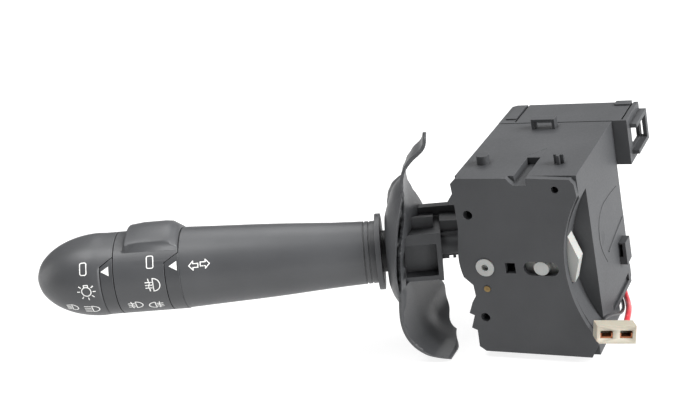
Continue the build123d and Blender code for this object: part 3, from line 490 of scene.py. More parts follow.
def round_tube(name: str, route: Sequence[Place], diameter: float, material: bpy.types.Material,
               sides: int, steps: int) -> bpy.types.Object:
    """Lay a round closed tube along a smooth spline, fixed to the housing.

    Args:
        name: Name of the piece.
        route: Its control points in mm.
        diameter: Its diameter in mm.
        material: Its finish.
        sides: Fineness round it.
        steps: Fineness along it.

    Returns:
        The tube.
    """
    curve = bpy.data.curves.new(name, "CURVE")
    curve.dimensions = "3D"
    curve.bevel_depth = diameter / 2 * MM
    curve.bevel_resolution = sides
    curve.resolution_u = steps
    curve.use_fill_caps = True
    spline = curve.splines.new("NURBS")
    spline.points.add(len(route) - 1)
    for control, place in zip(spline.points, route):
        control.co = (*(c * MM for c in place), 1.0)
    spline.order_u = 3
    spline.use_endpoint_u = True
    tube = add_object(name, curve, material)
    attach(tube, "housing")
    return tube


class Sign(Enum):
    """Generic control signs of a stalk switch."""

    OFF = "off"
    SIDE_LAMPS = "side_lamps"
    DIPPED_BEAM = "dipped_beam"
    MAIN_BEAM = "main_beam"
    FOG_LAMP = "fog_lamp"
    FRONT_FOG = "front_fog"
    REAR_FOG = "rear_fog"
    TURN_LEFT = "turn_left"
    TURN_RIGHT = "turn_right"
    POINTER = "pointer"


def arc(centre: Pair, size: Pair, start: float, end: float,
        steps: int) -> Line:
    """Give the points of an elliptic arc.

    Args:
        centre: Centre in mm.
        size: Half width and half height in mm.
        start: First angle in degrees.
        end: Last angle in degrees.
        steps: Number of runs.

    Returns:
        The points, both ends included.
    """
    angles = [math.radians(start + (end - start) * i / steps) for i in range(steps + 1)]
    return [(centre[0] + size[0] * math.cos(a), centre[1] + size[1] * math.sin(a)) for a in angles]


def lamp(left: float, width: float, height: float, flip: int = 1) -> Line:
    """Give the closed outline of a lamp, flat on one side and round on the other.

    Args:
        left: Place of the flat side in mm.
        width: Depth of the lamp in mm.
        height: Full height in mm.
        flip: 1 for a round side on the right, -1 for the left.

    Returns:
        The outline's points, ended where it began.
    """
    bow = arc((left, 0), (width, height / 2), -90, 90, 12)
    outline = bow + [bow[0]]
    return [(flip * u, v) for u, v in outline]


def bars(start: float, end: float, rows: Iterable[float], drop: float = 0.0,
         flip: int = 1) -> list[Line]:
    """Give straight light rays beside a lamp.

    Args:
        start: Place of their near ends in mm.
        end: Place of their far ends in mm.
        rows: Heights of the rays in mm.
        drop: How far a ray falls towards its far end in mm.
        flip: 1 as given, -1 mirrored.

    Returns:
        One line for each ray.
    """
    return [[(flip * start, v), (flip * end, v - drop)] for v in rows]


def sway(middle: float, swing: float, pace: float, rows: Iterable[float], flip: int = 1) -> Line:
    """Give the wavy line that crosses the rays of a fog lamp.

    Args:
        middle: Its middle in mm.
        swing: How far it sways each way in mm.
        pace: Its turn for each mm of height, in radians.
        rows: Heights of its points in mm.
        flip: 1 as given, -1 mirrored.

    Returns:
        The line's points.
    """
    return [(flip * (middle + swing * math.sin(v * pace)), v) for v in rows]


def sign_lines(sign: Sign) -> list[Line]:
    """Give the strokes of a sign, in mm, right and up.

    Args:
        sign: The sign to draw.

    Returns:
        Its strokes.
    """
    if sign is Sign.OFF:
        w, h, r = 1.15, 2.2, 0.6
        corners = [(w - r, h - r, 0), (r - w, h - r, 90), (r - w, r - h, 180), (w - r, r - h, 270)]
        outline: Line = []
        for u, v, a in corners:
            outline += arc((u, v), (r, r), a, a + 90, 3)
        return [outline + [outline[0]]]
    if sign is Sign.SIDE_LAMPS:
        rays = [[(c * 2.45, s * 2.45 - 0.3), (c * 3.25, s * 3.25 - 0.3)]
                for c, s in ((math.cos(math.radians(a)), math.sin(math.radians(a)))
                             for a in (180, 142, 38, 0, -40, -82, -125))]
        cap = [(-0.75, 1.35), (-0.75, 2.1), (0.75, 2.1), (0.75, 1.35)]
        return [arc((0, -0.3), (1.7, 1.7), 0, 360, 18), cap] + rays
    if sign is Sign.DIPPED_BEAM:
        return [lamp(0, 2.6, 3.6)] + bars(-0.6, -2.4, (1.5, 0.5, -0.5, -1.4), 0.8)
    if sign is Sign.MAIN_BEAM:
        return [lamp(0, 2.8, 3.8)] + bars(-0.6, -3.0, (1.7, 0.6, -0.6, -1.7))
    if sign is Sign.FOG_LAMP:
        wave = sway(-1.35, 0.22, 2.2, (-2.4, -1.6, -0.8, 0, 0.8, 1.6, 2.4))
        return [lamp(0.15, 2.6, 5.0), wave] + bars(-0.3, -2.7, (1.1, 0.0, -1.1))
    flip = -1 if sign is Sign.REAR_FOG else 1
    if sign in (Sign.FRONT_FOG, Sign.REAR_FOG):
        wave = sway(-1.35, 0.2, 2.4, (-2, -1.3, -0.6, 0, 0.6, 1.3, 2), flip)
        return [lamp(0.2, 2.6, 3.8, flip), wave] + bars(-0.4, -2.7, (1.1, 0.0, -1.1), 0.0, flip)
    side = -1 if sign is Sign.TURN_LEFT else 1
    arrow = [(-1.6, 0.7), (0.2, 0.7), (0.2, 1.6), (1.7, 0), (0.2, -1.6), (0.2, -0.7), (-1.6, -0.7),
             (-1.6, 0.7)]
    return [[(side * u, v) for u, v in arrow]]


@dataclass(frozen=True)
class PlacedSign:
    """A sign and its place on the stalk."""

    sign: Sign
    along: float
    angle: float
    radius: float = 14.9
    scale: float = 1.0


@dataclass
class PadPrint:
    """White print on one moving piece of the stalk, laid on its real surface."""

    name: str
    body: str
    carriers: tuple[str, ...]
    signs: tuple[PlacedSign, ...]
    stroke: float = 0.34
    thickness: float = 0.1
    longest_run: float = 0.8
    overlap: float = 0.8
    pointer_length: float = 2.6
    pointer_width: float = 3.1
    weld: float = 0.01
    stalk: StalkSpace = StalkSpace()

    def lay(self, surface: BVHTree, placed: PlacedSign, point: Vector) -> Vector:
        """Lay one point of a sign on the stalk.

        Args:
            surface: Surface that takes the print.
            placed: The sign and its place.
            point: Right, up and height in mm.

        Returns:
            The point in the row frame, in metres.
        """
        along = placed.along - point.x
        angle = placed.angle + math.degrees(point.y / placed.radius)
        outside, out = self.stalk.ray(along, angle)
        hit = surface.ray_cast(outside, -out)[0]
        if hit is None:
            hit = outside - out * (self.stalk.outside_mm * MM - placed.radius * MM)
        return hit + out * point.z * MM

    def bar(self, shape: bmesh.types.BMesh, start: Vector, end: Vector) -> list[bmesh.types.BMVert]:
        """Add one short run of a stroke, flat in the sign's own plane.

        Args:
            shape: Mesh to add it to.
            start: First point in mm.
            end: Last point in mm.

        Returns:
            Its corners.
        """
        run = end - start
        length = run.length + self.stroke * self.overlap
        size = Matrix.Diagonal((length, self.stroke, self.thickness, 1))
        turn = Matrix.Rotation(math.atan2(run.y, run.x), 4, "Z")
        where = Matrix.Translation((start + end) / 2) @ turn @ size
        return bmesh.ops.create_cube(shape, size=1, matrix=where)["verts"]

    def strokes(self, shape: bmesh.types.BMesh, surface: BVHTree, placed: PlacedSign) -> None:
        """Add the strokes of one sign.

        Args:
            shape: Mesh to add them to.
            surface: Surface that takes the print.
            placed: The sign and its place.
        """
        for line in sign_lines(placed.sign):
            points = [Vector((u, v, 0)) * placed.scale for u, v in line]
            for a, b in zip(points, points[1:]):
                runs = max(1, math.ceil((b - a).length / self.longest_run))
                for i in range(runs):
                    corners = self.bar(shape, a.lerp(b, i / runs), a.lerp(b, (i + 1) / runs))
                    for corner in corners:
                        corner.co = self.lay(surface, placed, corner.co)

    def pointer(self, shape: bmesh.types.BMesh, surface: BVHTree, placed: PlacedSign) -> None:
        """Add a filled triangle that points along the stalk.

        Args:
            shape: Mesh to add it to.
            surface: Surface that takes the print.
            placed: The sign and its place.
        """
        length, width = self.pointer_length * placed.scale, self.pointer_width * placed.scale
        corners = bmesh.ops.create_grid(shape, x_segments=6, y_segments=6, size=0.5)["verts"]
        for corner in corners:
            narrow = 0.5 + corner.co.x
            flat = Vector((corner.co.x * length, corner.co.y * narrow * width, self.thickness / 2))
            corner.co = self.lay(surface, placed, flat)
        bmesh.ops.remove_doubles(shape, verts=corners, dist=self.weld * MM)

    def build(self) -> bpy.types.Object:
        """Build the print of this piece."""
        shape = bmesh.new()
        surface = carrier_surface(self.carriers)
        for placed in self.signs:
            if placed.sign is Sign.POINTER:
                self.pointer(shape, surface, placed)
            else:
                self.strokes(shape, surface, placed)
        bmesh.ops.recalc_face_normals(shape, faces=shape.faces)
        return finished_object(self.name, shape, Finish.INK.material(), self.body, smooth=False)


@dataclass
class StalkPrint:
    """All white signs of the stalk."""

    knob: PadPrint = field(default_factory=lambda: PadPrint(
        "print_light_knob", "knob", ("end_knob",),
        (PlacedSign(Sign.OFF, 147.8, 34.2), PlacedSign(Sign.SIDE_LAMPS, 147.4, 3.6),
         PlacedSign(Sign.DIPPED_BEAM, 154.4, -27.5, 14.2, 0.85),
         PlacedSign(Sign.MAIN_BEAM, 147.0, -29.1, 15.0, 0.9))))
    ring: PadPrint = field(default_factory=lambda: PadPrint(
        "print_fog_ring", "fog", ("fog_ring",),
        (PlacedSign(Sign.OFF, 123.8, 36.5), PlacedSign(Sign.FOG_LAMP, 123.5, 4.7, 14.9, 0.95),
         PlacedSign(Sign.FRONT_FOG, 131.3, -28.3, 14.9, 0.92),
         PlacedSign(Sign.REAR_FOG, 124.0, -31.8, 14.9, 0.92))))
    lever: PadPrint = field(default_factory=lambda: PadPrint(
        "print_lever", "lever", ("stalk_sleeve", "light_pointer_band", "fog_pointer_band"),
        (PlacedSign(Sign.TURN_LEFT, 108.4, 27.0, 14.4, 0.98),
         PlacedSign(Sign.TURN_RIGHT, 104.4, 28.5, 14.2, 0.98),
         PlacedSign(Sign.POINTER, 140.1, 28.4, 14.9, 1.1),
         PlacedSign(Sign.POINTER, 115.7, 28.6, 14.9, 1.1))))

    def build(self) -> list[bpy.types.Object]:
        """Build the print of each moving piece."""
        return [part.build() for part in (self.knob, self.ring, self.lever)]


@dataclass(frozen=True)
class WireRun:
    """One insulated wire: its route in mm, straight out of its solder joint."""

    name: str
    node: str
    diameter: float
    length: float
    far_end: str
    stiffness: str
    finish: Finish
    slot: str
    with_pieces: tuple[str, ...]
    route: tuple[Place, ...]

    def build(self) -> bpy.types.Object:
        wire = round_tube(self.name, self.route, self.diameter, self.finish.material(), 5, 10)
        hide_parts(self.node)
        return wire


@dataclass
class WireHarness:
    """The two pigtails to the plug and the three thin wires to the lever's contacts."""

    runs: tuple[WireRun, ...] = (
        WireRun("wire_red", "red_pigtail", 2.0, 88.4, "plug", "medium", Finish.RED, "red_wire",
                ("plug_moulded", "plug_terminal_right_moulded"),
                ((27.2, 50.8, -1.0), (27.2, 53.6, -1.0), (27.2, 55.6, -3.6), (27.3, 56.3, -8.6),
                 (27.6, 55.8, -15.8), (28.2, 54.3, -22.9), (28.7, 53.4, -27.8), (29.6, 51.9, -30.5),
                 (30.9, 49.65, -32.3), (32.65, 46.6, -33.2), (34.6, 41.6, -32.9),
                 (37.0, 35.4, -31.8), (39.0, 29.0, -29.8), (41.2, 22.2, -25.8), (43.1, 15.6, -23.2),
                 (44.7, 9.0, -21.4), (45.4, 2.4, -21.8))),
        WireRun("wire_black", "black_pigtail", 1.2, 84.0, "plug", "medium", Finish.BLACK,
                "black_wire", ("plug_terminal_left_moulded",),
                ((17.3, 50.8, -9.4), (17.3, 52.6, -9.4), (17.7, 54.0, -11.2), (18.8, 54.4, -14.8),
                 (21.7, 53.9, -20.4), (25.2, 52.8, -25.8), (26.6, 51.8, -30.2), (28.2, 49.2, -32.4),
                 (31.0, 44.8, -33.2), (33.8, 39.2, -33.2), (35.9, 33.2, -32.2),
                 (37.5, 27.0, -30.4), (38.9, 19.0, -27.0), (38.6, 10.6, -22.4),
                 (37.4, 3.6, -20.2), (38.8, -1.4, -20.8))),
        WireRun("wire_thin_black", "thin_wire_black", 1.0, 72.2, "object", "medium", Finish.BLACK,
                "black_wire", (),
                ((5.2, 50.8, 3.8), (5.2, 52.3, 3.8), (7.2, 53.0, 3.6), (10.6, 52.9, 5.8),
                 (14.6, 52.8, 7.4), (19.2, 52.8, 7.3), (22.9, 52.8, 4.8), (24.2, 52.8, 0.8),
                 (22.4, 52.8, -2.8), (18.6, 52.8, -4.6), (13.6, 52.7, -4.2), (7.6, 52.6, -1.2),
                 (1.6, 52.6, 2.2), (-3.2, 52.2, 4.6), (-6.9, 50.4, 5.2), (-8.3, 46.6, 5.2),
                 (-8.3, 42.6, 5.2), (-6.3, 39.2, 5.2))),
        WireRun("wire_thin_white", "thin_wire_white", 1.2, 77.8, "object", "medium", Finish.WHITE,
                "white_wire", (),
                ((5.0, 50.8, 7.3), (5.0, 52.6, 7.3), (6.4, 53.9, 7.4), (9.4, 54.3, 8.6),
                 (14.0, 54.4, 10.4), (19.0, 54.4, 10.2), (23.2, 54.4, 7.2), (25.0, 54.4, 2.4),
                 (23.2, 54.4, -2.2), (18.8, 54.4, -5.0), (12.6, 54.4, -6.2), (6.0, 54.4, -5.2),
                 (0.6, 54.2, -2.2), (-3.6, 53.2, 1.6), (-7.0, 50.8, 3.4), (-8.4, 46.8, 3.4),
                 (-8.4, 42.8, 3.4), (-6.4, 39.2, 3.4))),
        WireRun("wire_thin_purple", "thin_wire_purple", 1.0, 91.6, "object", "medium",
                Finish.PURPLE, "purple_wire", (),
                ((-3.3, 50.8, 11.3), (-3.3, 53.4, 11.3), (-1.6, 55.2, 11.0), (2.4, 55.8, 10.6),
                 (7.2, 55.9, 11.6), (12.6, 55.9, 13.0), (18.0, 55.9, 12.8), (22.6, 55.9, 10.2),
                 (25.3, 55.9, 5.4), (25.3, 55.9, 0.2), (22.4, 55.9, -4.0), (17.4, 55.9, -6.4),
                 (11.6, 55.9, -7.2), (5.8, 55.9, -6.2), (0.0, 55.8, -4.0), (-4.2, 54.6, -1.0),
                 (-7.2, 51.6, 1.4), (-8.4, 47.2, 1.6), (-8.4, 43.0, 1.6), (-6.4, 39.2, 1.6))),
    )

    def build(self) -> list[bpy.types.Object]:
        """Build every wire of the harness."""
        return [run.build() for run in self.runs]


@dataclass
class SolderBeads:
    """Fillets of solder that climb each wire from its pad on the base plate."""

    pads: tuple[Place, ...] = (
        (17.3, -9.4, 1.2), (27.2, -1.0, 2.0), (5.2, 3.8, 1.0), (5.0, 7.3, 1.2), (-3.3, 11.3, 1.0))
    plate_y: float = 50.0
    radius: float = 1.48
    climb: float = 1.5
    steps: int = 24
    axis_gap: float = 0.02
    foot_height: float = 0.3
    foot_taper: float = 0.98
    neck_gap: float = 0.06
    slimmest_foot: float = 0.1
    rings: int = 5
    hollow: float = 1.7
    weld: float = 0.03

    def bead(self, shape: bmesh.types.BMesh, x: float, z: float, wire: float) -> None:
        """Add one bead, spun round its wire.

        Args:
            shape: Mesh to add it to.
            x: Place of the pad in mm.
            z: Place of the pad in mm.
            wire: Diameter of the wire in mm.
        """
        neck = min(wire / 2 + self.neck_gap, self.radius - self.slimmest_foot)
        foot = self.radius * self.foot_taper
        profile = [(self.axis_gap, 0.0), (self.radius, 0.0), (foot, self.foot_height)]
        for i in range(1, self.rings + 1):
            part = i / self.rings
            spread = neck + (foot - neck) * (1 - part) ** self.hollow
            profile.append((spread, self.foot_height + (self.climb - self.foot_height) * part))
        profile.append((self.axis_gap, self.climb))
        corners = [shape.verts.new(((x + r) * MM, (self.plate_y + y) * MM, z * MM))
                   for r, y in profile]
        edges = [shape.edges.new(pair) for pair in zip(corners, corners[1:])]
        bmesh.ops.spin(shape, geom=corners + edges, cent=(x * MM, self.plate_y * MM, z * MM),
                       axis=(0, 1, 0), angle=math.tau, steps=self.steps, use_merge=True)

    def build(self) -> bpy.types.Object:
        """Build the beads, which stand for the plain pads."""
        shape = bmesh.new()
        for x, z, wire in self.pads:
            self.bead(shape, x, z, wire)
        bmesh.ops.remove_doubles(shape, verts=shape.verts, dist=self.weld * MM)
        bmesh.ops.recalc_face_normals(shape, faces=shape.faces)
        beads = finished_object("solder_beads", shape, Finish.SOLDER.material(), "housing")
        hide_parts("solder_joints")
        return beads


@dataclass
class CoilSpring:
    """Small compression spring, wound in the place that its CAD sleeve holds."""

    node: str
    body: str
    space: Matrix
    wire: float = 0.32
    turns: int = 5
    sides: int = 10
    steps_per_turn: int = 20

    def extent(self) -> tuple[Vector, Vector]:
        """Measure the sleeve in the spring's own space.

        Returns:
            Its lowest and highest corners, in metres.
        """
        inverse = self.space.inverted()
        corners = [inverse @ v.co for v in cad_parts[self.node].data.vertices]
        low = Vector(min(c[i] for c in corners) for i in range(3))
        high = Vector(max(c[i] for c in corners) for i in range(3))
        return low, high

    def build(self) -> bpy.types.Object:
        """Wind the spring along its axis."""
        low, high = self.extent()
        middle = (low + high) / 2
        thick = self.wire * MM
        coil_radius = (high.y - low.y) / 2 - thick / 2
        length = high.x - low.x - thick
        start = Vector((low.x + thick / 2, middle.y + coil_radius, middle.z))
        shape = bmesh.new()
        section = Matrix.Translation(start)
        ring = bmesh.ops.create_circle(shape, cap_ends=False, radius=thick / 2, segments=self.sides,
                                       matrix=section)["verts"]
        steps = self.turns * self.steps_per_turn
        loop = list({edge for corner in ring for edge in corner.link_edges})
        bmesh.ops.spin(shape, geom=ring + loop, cent=(low.x, middle.y, middle.z), axis=(1, 0, 0),
                       dvec=(length / steps, 0, 0), angle=math.tau * self.turns, steps=steps,
                       use_merge=False)
        bmesh.ops.holes_fill(shape, edges=[e for e in shape.edges if e.is_boundary], sides=0)
        bmesh.ops.transform(shape, matrix=self.space, verts=shape.verts)
        bmesh.ops.recalc_face_normals(shape, faces=shape.faces)
        spring = finished_object(self.node + "_coil", shape, Finish.STEEL.material(), self.body)
        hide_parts(self.node)
        return spring


@dataclass
class SpringSet:
    """The springs of the detents, the plunger and the cancel finger."""

    stalk: StalkSpace = StalkSpace()

    def build(self) -> list[bpy.types.Object]:
        """Wind each spring in its place."""
        along_stalk, along_x = self.stalk.matrix(), Matrix.Identity(4)
        springs = (CoilSpring("knob_detent_spring", "lever", along_stalk),
                   CoilSpring("ring_detent_spring", "lever", along_stalk),
                   CoilSpring("plunger_spring", "lever", along_x, 0.45, 4),
                   CoilSpring("cancel_spring", "cancel", along_x, 0.4, 3))
        return [spring.build() for spring in springs]


def smooth_step(low: float, high: float, value: float) -> float:
    """Rise smoothly from 0 at low to 1 at high."""
    part = min(1.0, max(0.0, (value - low) / (high - low)))
    return part * part * (3 - 2 * part)


@dataclass
class ReworkedNode:
    """A CAD node's own mesh, cut finer and moved a little to the softer moulded form."""

    node: str
    body: str
    finish: Finish
    slot: str
    sharp_angle: float = 0.6
    weld: float = 0.001

    def slices(self) -> list[Plane]:
        """Give the planes, place and normal, that cut the mesh finer."""
        return []

    def moved(self, point: Vector) -> Vector:
        """Give the place of a corner of the finished piece."""
        return point

    def build(self) -> bpy.types.Object:
        """Rework the mesh into a piece that stands for its node."""
        shape = bmesh.new()
        shape.from_mesh(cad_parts[self.node].data)
        bmesh.ops.remove_doubles(shape, verts=shape.verts, dist=self.weld * MM)
        for place, normal in self.slices():
            everything = shape.verts[:] + shape.edges[:] + shape.faces[:]
            bmesh.ops.bisect_plane(shape, geom=everything, plane_co=place, plane_no=normal)
        for corner in shape.verts:
            corner.co = self.moved(corner.co)
        bmesh.ops.recalc_face_normals(shape, faces=shape.faces)
        piece = finished_object(self.node + "_moulded", shape, self.finish.material(), self.body)
        piece.data.set_sharp_from_angle(angle=self.sharp_angle)
        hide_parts(self.node)
        return piece


@dataclass
class ShieldLeaf(ReworkedNode):
    """Thin shield leaf, whose far upper part leans away from the housing."""

    node: str = "shield"
    body: str = "lever"
    finish: Finish = Finish.STALK
    slot: str = "stalk_plastic"
    stalk: StalkSpace = StalkSpace()
    lean: tuple[Pair, ...] = ((9.0, 0.0), (14.0, 0.06), (18.0, 0.10), (22.0, 0.14),
                                             (26.0, 0.20), (30.0, 0.20), (34.0, 0.08), (38.0, 0.0))
    lean_start: float = 2.0
    tip_from: float = 34.0
    tip_scale: float = 0.85
    heel_push: float = 2.4
    toe_curl: float = 2.9
    far_start: float = 18.0
    far_soft: float = 5.0
    far_lean: float = 0.7
    far_bottom: Pair = (4.0, 12.0)
    far_top: Pair = (25.0, 32.0)
    hub_clear: Pair = (15.0, 22.0)
    heel_levels: Pair = (-33.0, -35.7)
    heel_depths: Pair = (3.0, 11.0)
    toe_levels: Pair = (-22.0, -31.0)
    toe_depths: Pair = (6.0, 17.0)
    lean_cuts: tuple[float, ...] = tuple(9 + 1.5 * i for i in range(20))
    foot_cuts: tuple[float, ...] = (-35.2, -34.6, -34.0, -33.0, -32.0, -30.5, -29.0, -27.5, -26.0,
                                    -24.5, -23.0)
    depth_cuts: tuple[float, ...] = tuple(2 * i - 1 for i in range(17))

    def slices(self) -> list[Plane]:
        """Give planes through the leaning part and the curled foot."""
        level = [(Vector((0, 0, z * MM)), Vector((0, 0, 1)))
                 for z in self.lean_cuts + self.foot_cuts]
        return level + [(Vector((0, y * MM, 0)), Vector((0, 1, 0))) for y in self.depth_cuts]

    def lean_at(self, height: float) -> float:
        """Give the leaf's lean at a height.

        Args:
            height: Height in mm.

        Returns:
            Shift along X for each mm of depth.
        """
        for (z0, k0), (z1, k1) in zip(self.lean, self.lean[1:]):
            if z0 <= height < z1:
                return k0 + (k1 - k0) * smooth_step(z0, z1, height)
        return 0.0

    def moved(self, point: Vector) -> Vector:
        """Lean the far part of the leaf, clear of its flared hub.

        Args:
            point: A corner in metres.

        Returns:
            Its place on the finished leaf.
        """
        x, y, z = (c / MM for c in point)
        away = smooth_step(*self.hub_clear, self.stalk.local(point)[1])
        x -= self.lean_at(z) * max(0.0, y - self.lean_start) * away
        far = max(0.0, y - self.far_start)
        far *= smooth_step(self.far_start, self.far_start + self.far_soft, y)
        band = smooth_step(*self.far_bottom, z) * (1 - smooth_step(*self.far_top, z))
        x -= self.far_lean * far * band * away
        if z > self.tip_from:
            z = self.tip_from + (z - self.tip_from) * self.tip_scale
        heel = smooth_step(*self.heel_levels, z) * (1 - smooth_step(*self.heel_depths, y))
        toe = smooth_step(*self.toe_levels, z) * smooth_step(*self.toe_depths, y)
        x += self.heel_push * heel - self.toe_curl * toe
        return Vector((x, y, z)) * MM


@dataclass
class RingGrip(ReworkedNode):
    """Fog ring, whose raised grip ends in a steep face short of the knob."""

    node: str = "fog_ring"
    body: str = "fog"
    finish: Finish = Finish.STALK
    slot: str = "stalk_plastic"
    stalk: StalkSpace = StalkSpace()
    foot: float = 133.8
    crest: float = 132.2
    radius: float = 14.8
    rise: float = 2.8
    crest_cuts: tuple[float, ...] = (-0.6, 0.0, 0.5)
    foot_cuts: tuple[float, ...] = (-0.5, 0.0, 1.2, 2.4)

    def slices(self) -> list[Plane]:
        """Give planes across the stalk at the steep face and beside it."""
        return self.stalk.planes([self.crest + c for c in self.crest_cuts]
                                 + [self.foot + c for c in self.foot_cuts])

    def moved(self, point: Vector) -> Vector:
        """Hold the ring's surface down between the grip and the knob.

        Args:
            point: A corner in metres.

        Returns:
            Its place on the finished ring.
        """
        local, radius = self.stalk.local(point)
        allowed = self.radius + self.rise * smooth_step(self.foot, self.crest, local.x)
        if local.x > self.crest and radius > allowed:
            local.y *= allowed / radius
            local.z *= allowed / radius
        return self.stalk.matrix() @ (local * MM)


@dataclass
class KnobRidge(ReworkedNode):
    """Light knob, whose low finger ridge drops to the seam at its inner end."""

    node: str = "end_knob"
    body: str = "knob"
    finish: Finish = Finish.STALK
    slot: str = "stalk_plastic"
    stalk: StalkSpace = StalkSpace()
    foot: float = 138.0
    crest: float = 140.4
    radius: float = 14.8
    skin: float = 0.25
    ridge_end: float = 146.0
    ridge_gain: float = 0.6
    foot_cuts: tuple[float, ...] = (0.0, 0.6, 1.2, 1.8)

    def slices(self) -> list[Plane]:
        """Give planes across the stalk where the ridge drops."""
        return self.stalk.planes([self.foot + c for c in self.foot_cuts] + [self.crest])

    def moved(self, point: Vector) -> Vector:
        """Raise the ridge a little and let it drop to the seam.

        Args:
            point: A corner in metres.

        Returns:
            Its place on the finished knob.
        """
        local, radius = self.stalk.local(point)
        proud = radius - self.radius - self.skin
        if local.x < self.ridge_end and proud > 0:
            part = smooth_step(self.foot, self.crest, local.x)
            scale = (self.radius + (proud * (1 + self.ridge_gain) + self.skin) * part) / radius
            local.y *= scale
            local.z *= scale
        return self.stalk.matrix() @ (local * MM)


@dataclass
class LoosePlugPart(ReworkedNode):
    """A piece of the loose plug, turned as the plug hangs on its two wires."""

    old_place: Place = (44.6, -2.0, -19.2)
    old_turn: float = 35.0
    place: Place = (43.3, -3.5, -20.7)
    along: Place = (0.8842, 0.4228, -0.1986)
    mouth: Place = (0.4562, -0.8731, 0.1721)
    stretch: Place = (0.95, 0.66, 0.8)

    def moved(self, point: Vector) -> Vector:
        """Turn and stretch a corner of the plug about its middle.

        Args:
            point: A corner in metres.

        Returns:
            Its place on the hanging plug.
        """
        turn = Matrix.Rotation(math.radians(-self.old_turn), 3, "Z")
        local = turn @ (point / MM - Vector(self.old_place))
        local = Vector(a * b for a, b in zip(local, self.stretch))
        along, back = Vector(self.along).normalized(), -Vector(self.mouth).normalized()
        axes = Matrix((along, back, along.cross(back))).transposed()
        return (Vector(self.place) + axes @ local) * MM


@dataclass
class ReworkedSet:
    """All pieces that are reworked from their CAD mesh."""

    def build(self) -> list[bpy.types.Object]:
        """Build the reworked pieces."""
        parts = (ShieldLeaf(), RingGrip(), KnobRidge(),
                 LoosePlugPart("plug", "housing", Finish.PLUG, "white_nylon"),
                 LoosePlugPart("plug_terminal_left", "housing", Finish.COPPER, "copper"),
                 LoosePlugPart("plug_terminal_right", "housing", Finish.COPPER, "copper"))
        return [part.build() for part in parts]


@dataclass
class HousingDetails:
    """Small moulded details of the housing: the groove's end web, a seam and a rib."""

    top: float = 33.28
    web_depth: float = 4.4
    web_corners: tuple[Pair, ...] = ((12.9, 17.04), (19.16, 17.04), (19.16, 24.3))
    wall_x: float = 35.6
    seam_width: float = 0.3
    rib_width: float = 0.7
    seam: Line = field(default_factory=lambda: [
        (43.0, 10.4), (36.4, 11.3), (31.2, 11.7), (26.0, 11.9), (22.4, 11.0), (19.4, 8.9),
        (17.6, 5.6), (17.2, 1.8), (18.4, -1.9), (20.4, -5.4), (22.8, -8.8)])
    rib: Line = field(default_factory=lambda: [
        (46.0, -3.0), (42.5, -3.4), (36.4, -4.3), (30.2, -5.4), (25.4, -6.2)])

    def web(self) -> bpy.types.Object:
        """Build the web that closes the far end of the top groove."""
        shape = bmesh.new()
        corners = [shape.verts.new((x * MM, y * MM, self.top * MM)) for x, y in self.web_corners]
        face = bmesh.ops.contextual_create(shape, geom=corners)["faces"]
        grown = bmesh.ops.extrude_face_region(shape, geom=face)["geom"]
        down = [item for item in grown if isinstance(item, bmesh.types.BMVert)]
        bmesh.ops.translate(shape, vec=(0, 0, -self.web_depth * MM), verts=down)
        bmesh.ops.recalc_face_normals(shape, faces=shape.faces)
        return finished_object("groove_end_web", shape, Finish.HOUSING.material(), "housing", False)

    def build(self) -> list[bpy.types.Object]:
        """Build the details."""
        seam, rib = ([(self.wall_x, y, z) for y, z in line] for line in (self.seam, self.rib))
        return [self.web(),
                round_tube("side_seam", seam, self.seam_width, Finish.INNER.material(), 2, 12),
                round_tube("side_rib", rib, self.rib_width, Finish.HOUSING.material(), 2, 12)]


@dataclass
class MouldedBodies:
    """The CAD nodes that keep their shape, each with the finish of its real material."""

    finishes: dict[Finish, tuple[str, ...]] = field(default_factory=lambda: {
        Finish.STALK: ("stalk_sleeve",),
        Finish.BAND: ("light_pointer_band", "fog_pointer_band"),
        Finish.HOUSING: ("housing", "base_plate", "connector_shroud", "lever_arm"),
        Finish.INNER: ("core_tube", "light_drive_shaft", "fog_contact_plate", "contact_board",
                       "wire_clip", "fog_contact_carrier", "carrier_yoke", "detent_cam"),
        Finish.NYLON: ("pivot_bush", "cancel_finger", "indicator_slider"),
        Finish.STEEL: ("knob_detent_ball", "ring_detent_ball", "detent_plunger", "flash_pivot_pin",
                       "base_screw"),
        Finish.BRASS: ("rivet",) + tuple(f"blade_{i:02d}" for i in range(1, 14)),
        Finish.COPPER: ("copper_track_upper", "copper_track_middle", "copper_track_lower"),
    })

    def dress(self) -> int:
        """Give each node its finish.

        Returns:
            How many nodes were dressed.
        """
        count = 0
        for finish, names in self.finishes.items():
            for name in names:
                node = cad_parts[name]
                if not node.material_slots:
                    node.data.materials.append(finish.material())
                for slot in node.material_slots:
                    slot.material = finish.material()
                count += 1
        return count


@dataclass(frozen=True)
class Softbox:
    """One square softbox that faces the object; metres and watts."""

    name: str
    place: Place
    size: float
    power: float

    def hang(self) -> None:
        """Hang the softbox."""
        data = bpy.data.lights.new(self.name, "AREA")
        data.size = self.size
        data.energy = self.power
        light = bpy.data.objects.new(self.name, data)
        light.location = self.place
        light.rotation_euler = (-Vector(self.place)).to_track_quat("-Z", "Y").to_euler()
        bpy.context.scene.collection.objects.link(light)


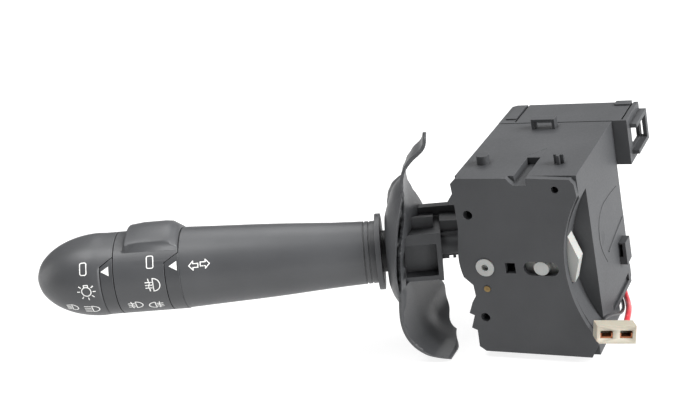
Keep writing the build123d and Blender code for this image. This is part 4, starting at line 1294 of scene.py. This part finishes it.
@dataclass
class Studio:
    """Light table, plain soft lights and the camera at the photograph's angle."""

    camera_place: Place = (156.0, -349.9, 194.4)
    camera_right: Place = (0.8842, 0.4228, -0.1986)
    camera_up: Place = (-0.0046, 0.4330, 0.9014)
    camera_back: Place = (0.4671, -0.7961, 0.3848)
    lens: float = 65.69
    sensor: float = 36.0
    floor_size: float = 4.0
    sky: float = 0.22
    lights: tuple[Softbox, ...] = (
        Softbox("key_softbox", (1.2, 0.2, 0.75), 0.8, 41.0),
        Softbox("back_softbox", (-0.2, 0.75, 1.1), 0.9, 9.0),
        Softbox("top_softbox", (-0.35, -0.25, 1.15), 0.5, 9.0),
        Softbox("left_fill", (-1.25, -0.4, 0.3), 0.7, 4.0),
        Softbox("front_fill", (1.15, -0.7, 0.1), 0.5, 6.0))

    def floor(self, height: float) -> bpy.types.Object:
        """Lay the floor under the object.

        Args:
            height: Its height in metres.

        Returns:
            The floor.
        """
        shape = bmesh.new()
        bmesh.ops.create_grid(shape, x_segments=1, y_segments=1, size=self.floor_size / 2,
                              matrix=Matrix.Translation((0, 0, height)))
        mesh = bpy.data.meshes.new("light_table")
        shape.to_mesh(mesh)
        shape.free()
        floor = add_object("light_table", mesh, Finish.FLOOR.material())
        floor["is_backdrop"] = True
        return floor

    def camera(self) -> None:
        """Set up the camera."""
        data = bpy.data.cameras.new("camera")
        data.sensor_width = self.sensor
        data.lens = self.lens
        data.clip_start, data.clip_end = 0.01, 20
        camera = bpy.data.objects.new("camera", data)
        axes = Matrix((self.camera_right, self.camera_up, self.camera_back)).transposed()
        place = Matrix.Translation(Vector(self.camera_place) * MM)
        camera.matrix_world = place @ axes.to_4x4()
        bpy.context.scene.collection.objects.link(camera)
        bpy.context.scene.camera = camera

    def build(self, height: float) -> None:
        """Build the whole studio.

        Args:
            height: Height of the floor in metres.
        """
        self.floor(height)
        for light in self.lights:
            light.hang()
        world = bpy.data.worlds.new("studio_sky")
        world.use_nodes = True
        sky = world.node_tree.nodes["Background"]
        sky.inputs["Color"].default_value = linear("#ffffff")
        sky.inputs["Strength"].default_value = self.sky
        bpy.context.scene.world = world
        bpy.context.scene.view_settings.view_transform = "Standard"
        self.camera()


def main() -> None:
    """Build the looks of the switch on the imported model."""
    logging.basicConfig(level=logging.INFO, format="%(message)s")
    cad_box = [list(corner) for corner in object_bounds()]
    log.info("dressed %d CAD nodes", MouldedBodies().dress())
    pieces = ReworkedSet().build() + HousingDetails().build()
    pieces += StalkPrint().build() + WireHarness().build()
    pieces += [SolderBeads().build()] + SpringSet().build()
    for piece in pieces:
        log.info("built %s", piece.name)
    Studio().build(cad_box[0][2] - FLOOR_GAP)


if __name__ == "__main__":
    main()
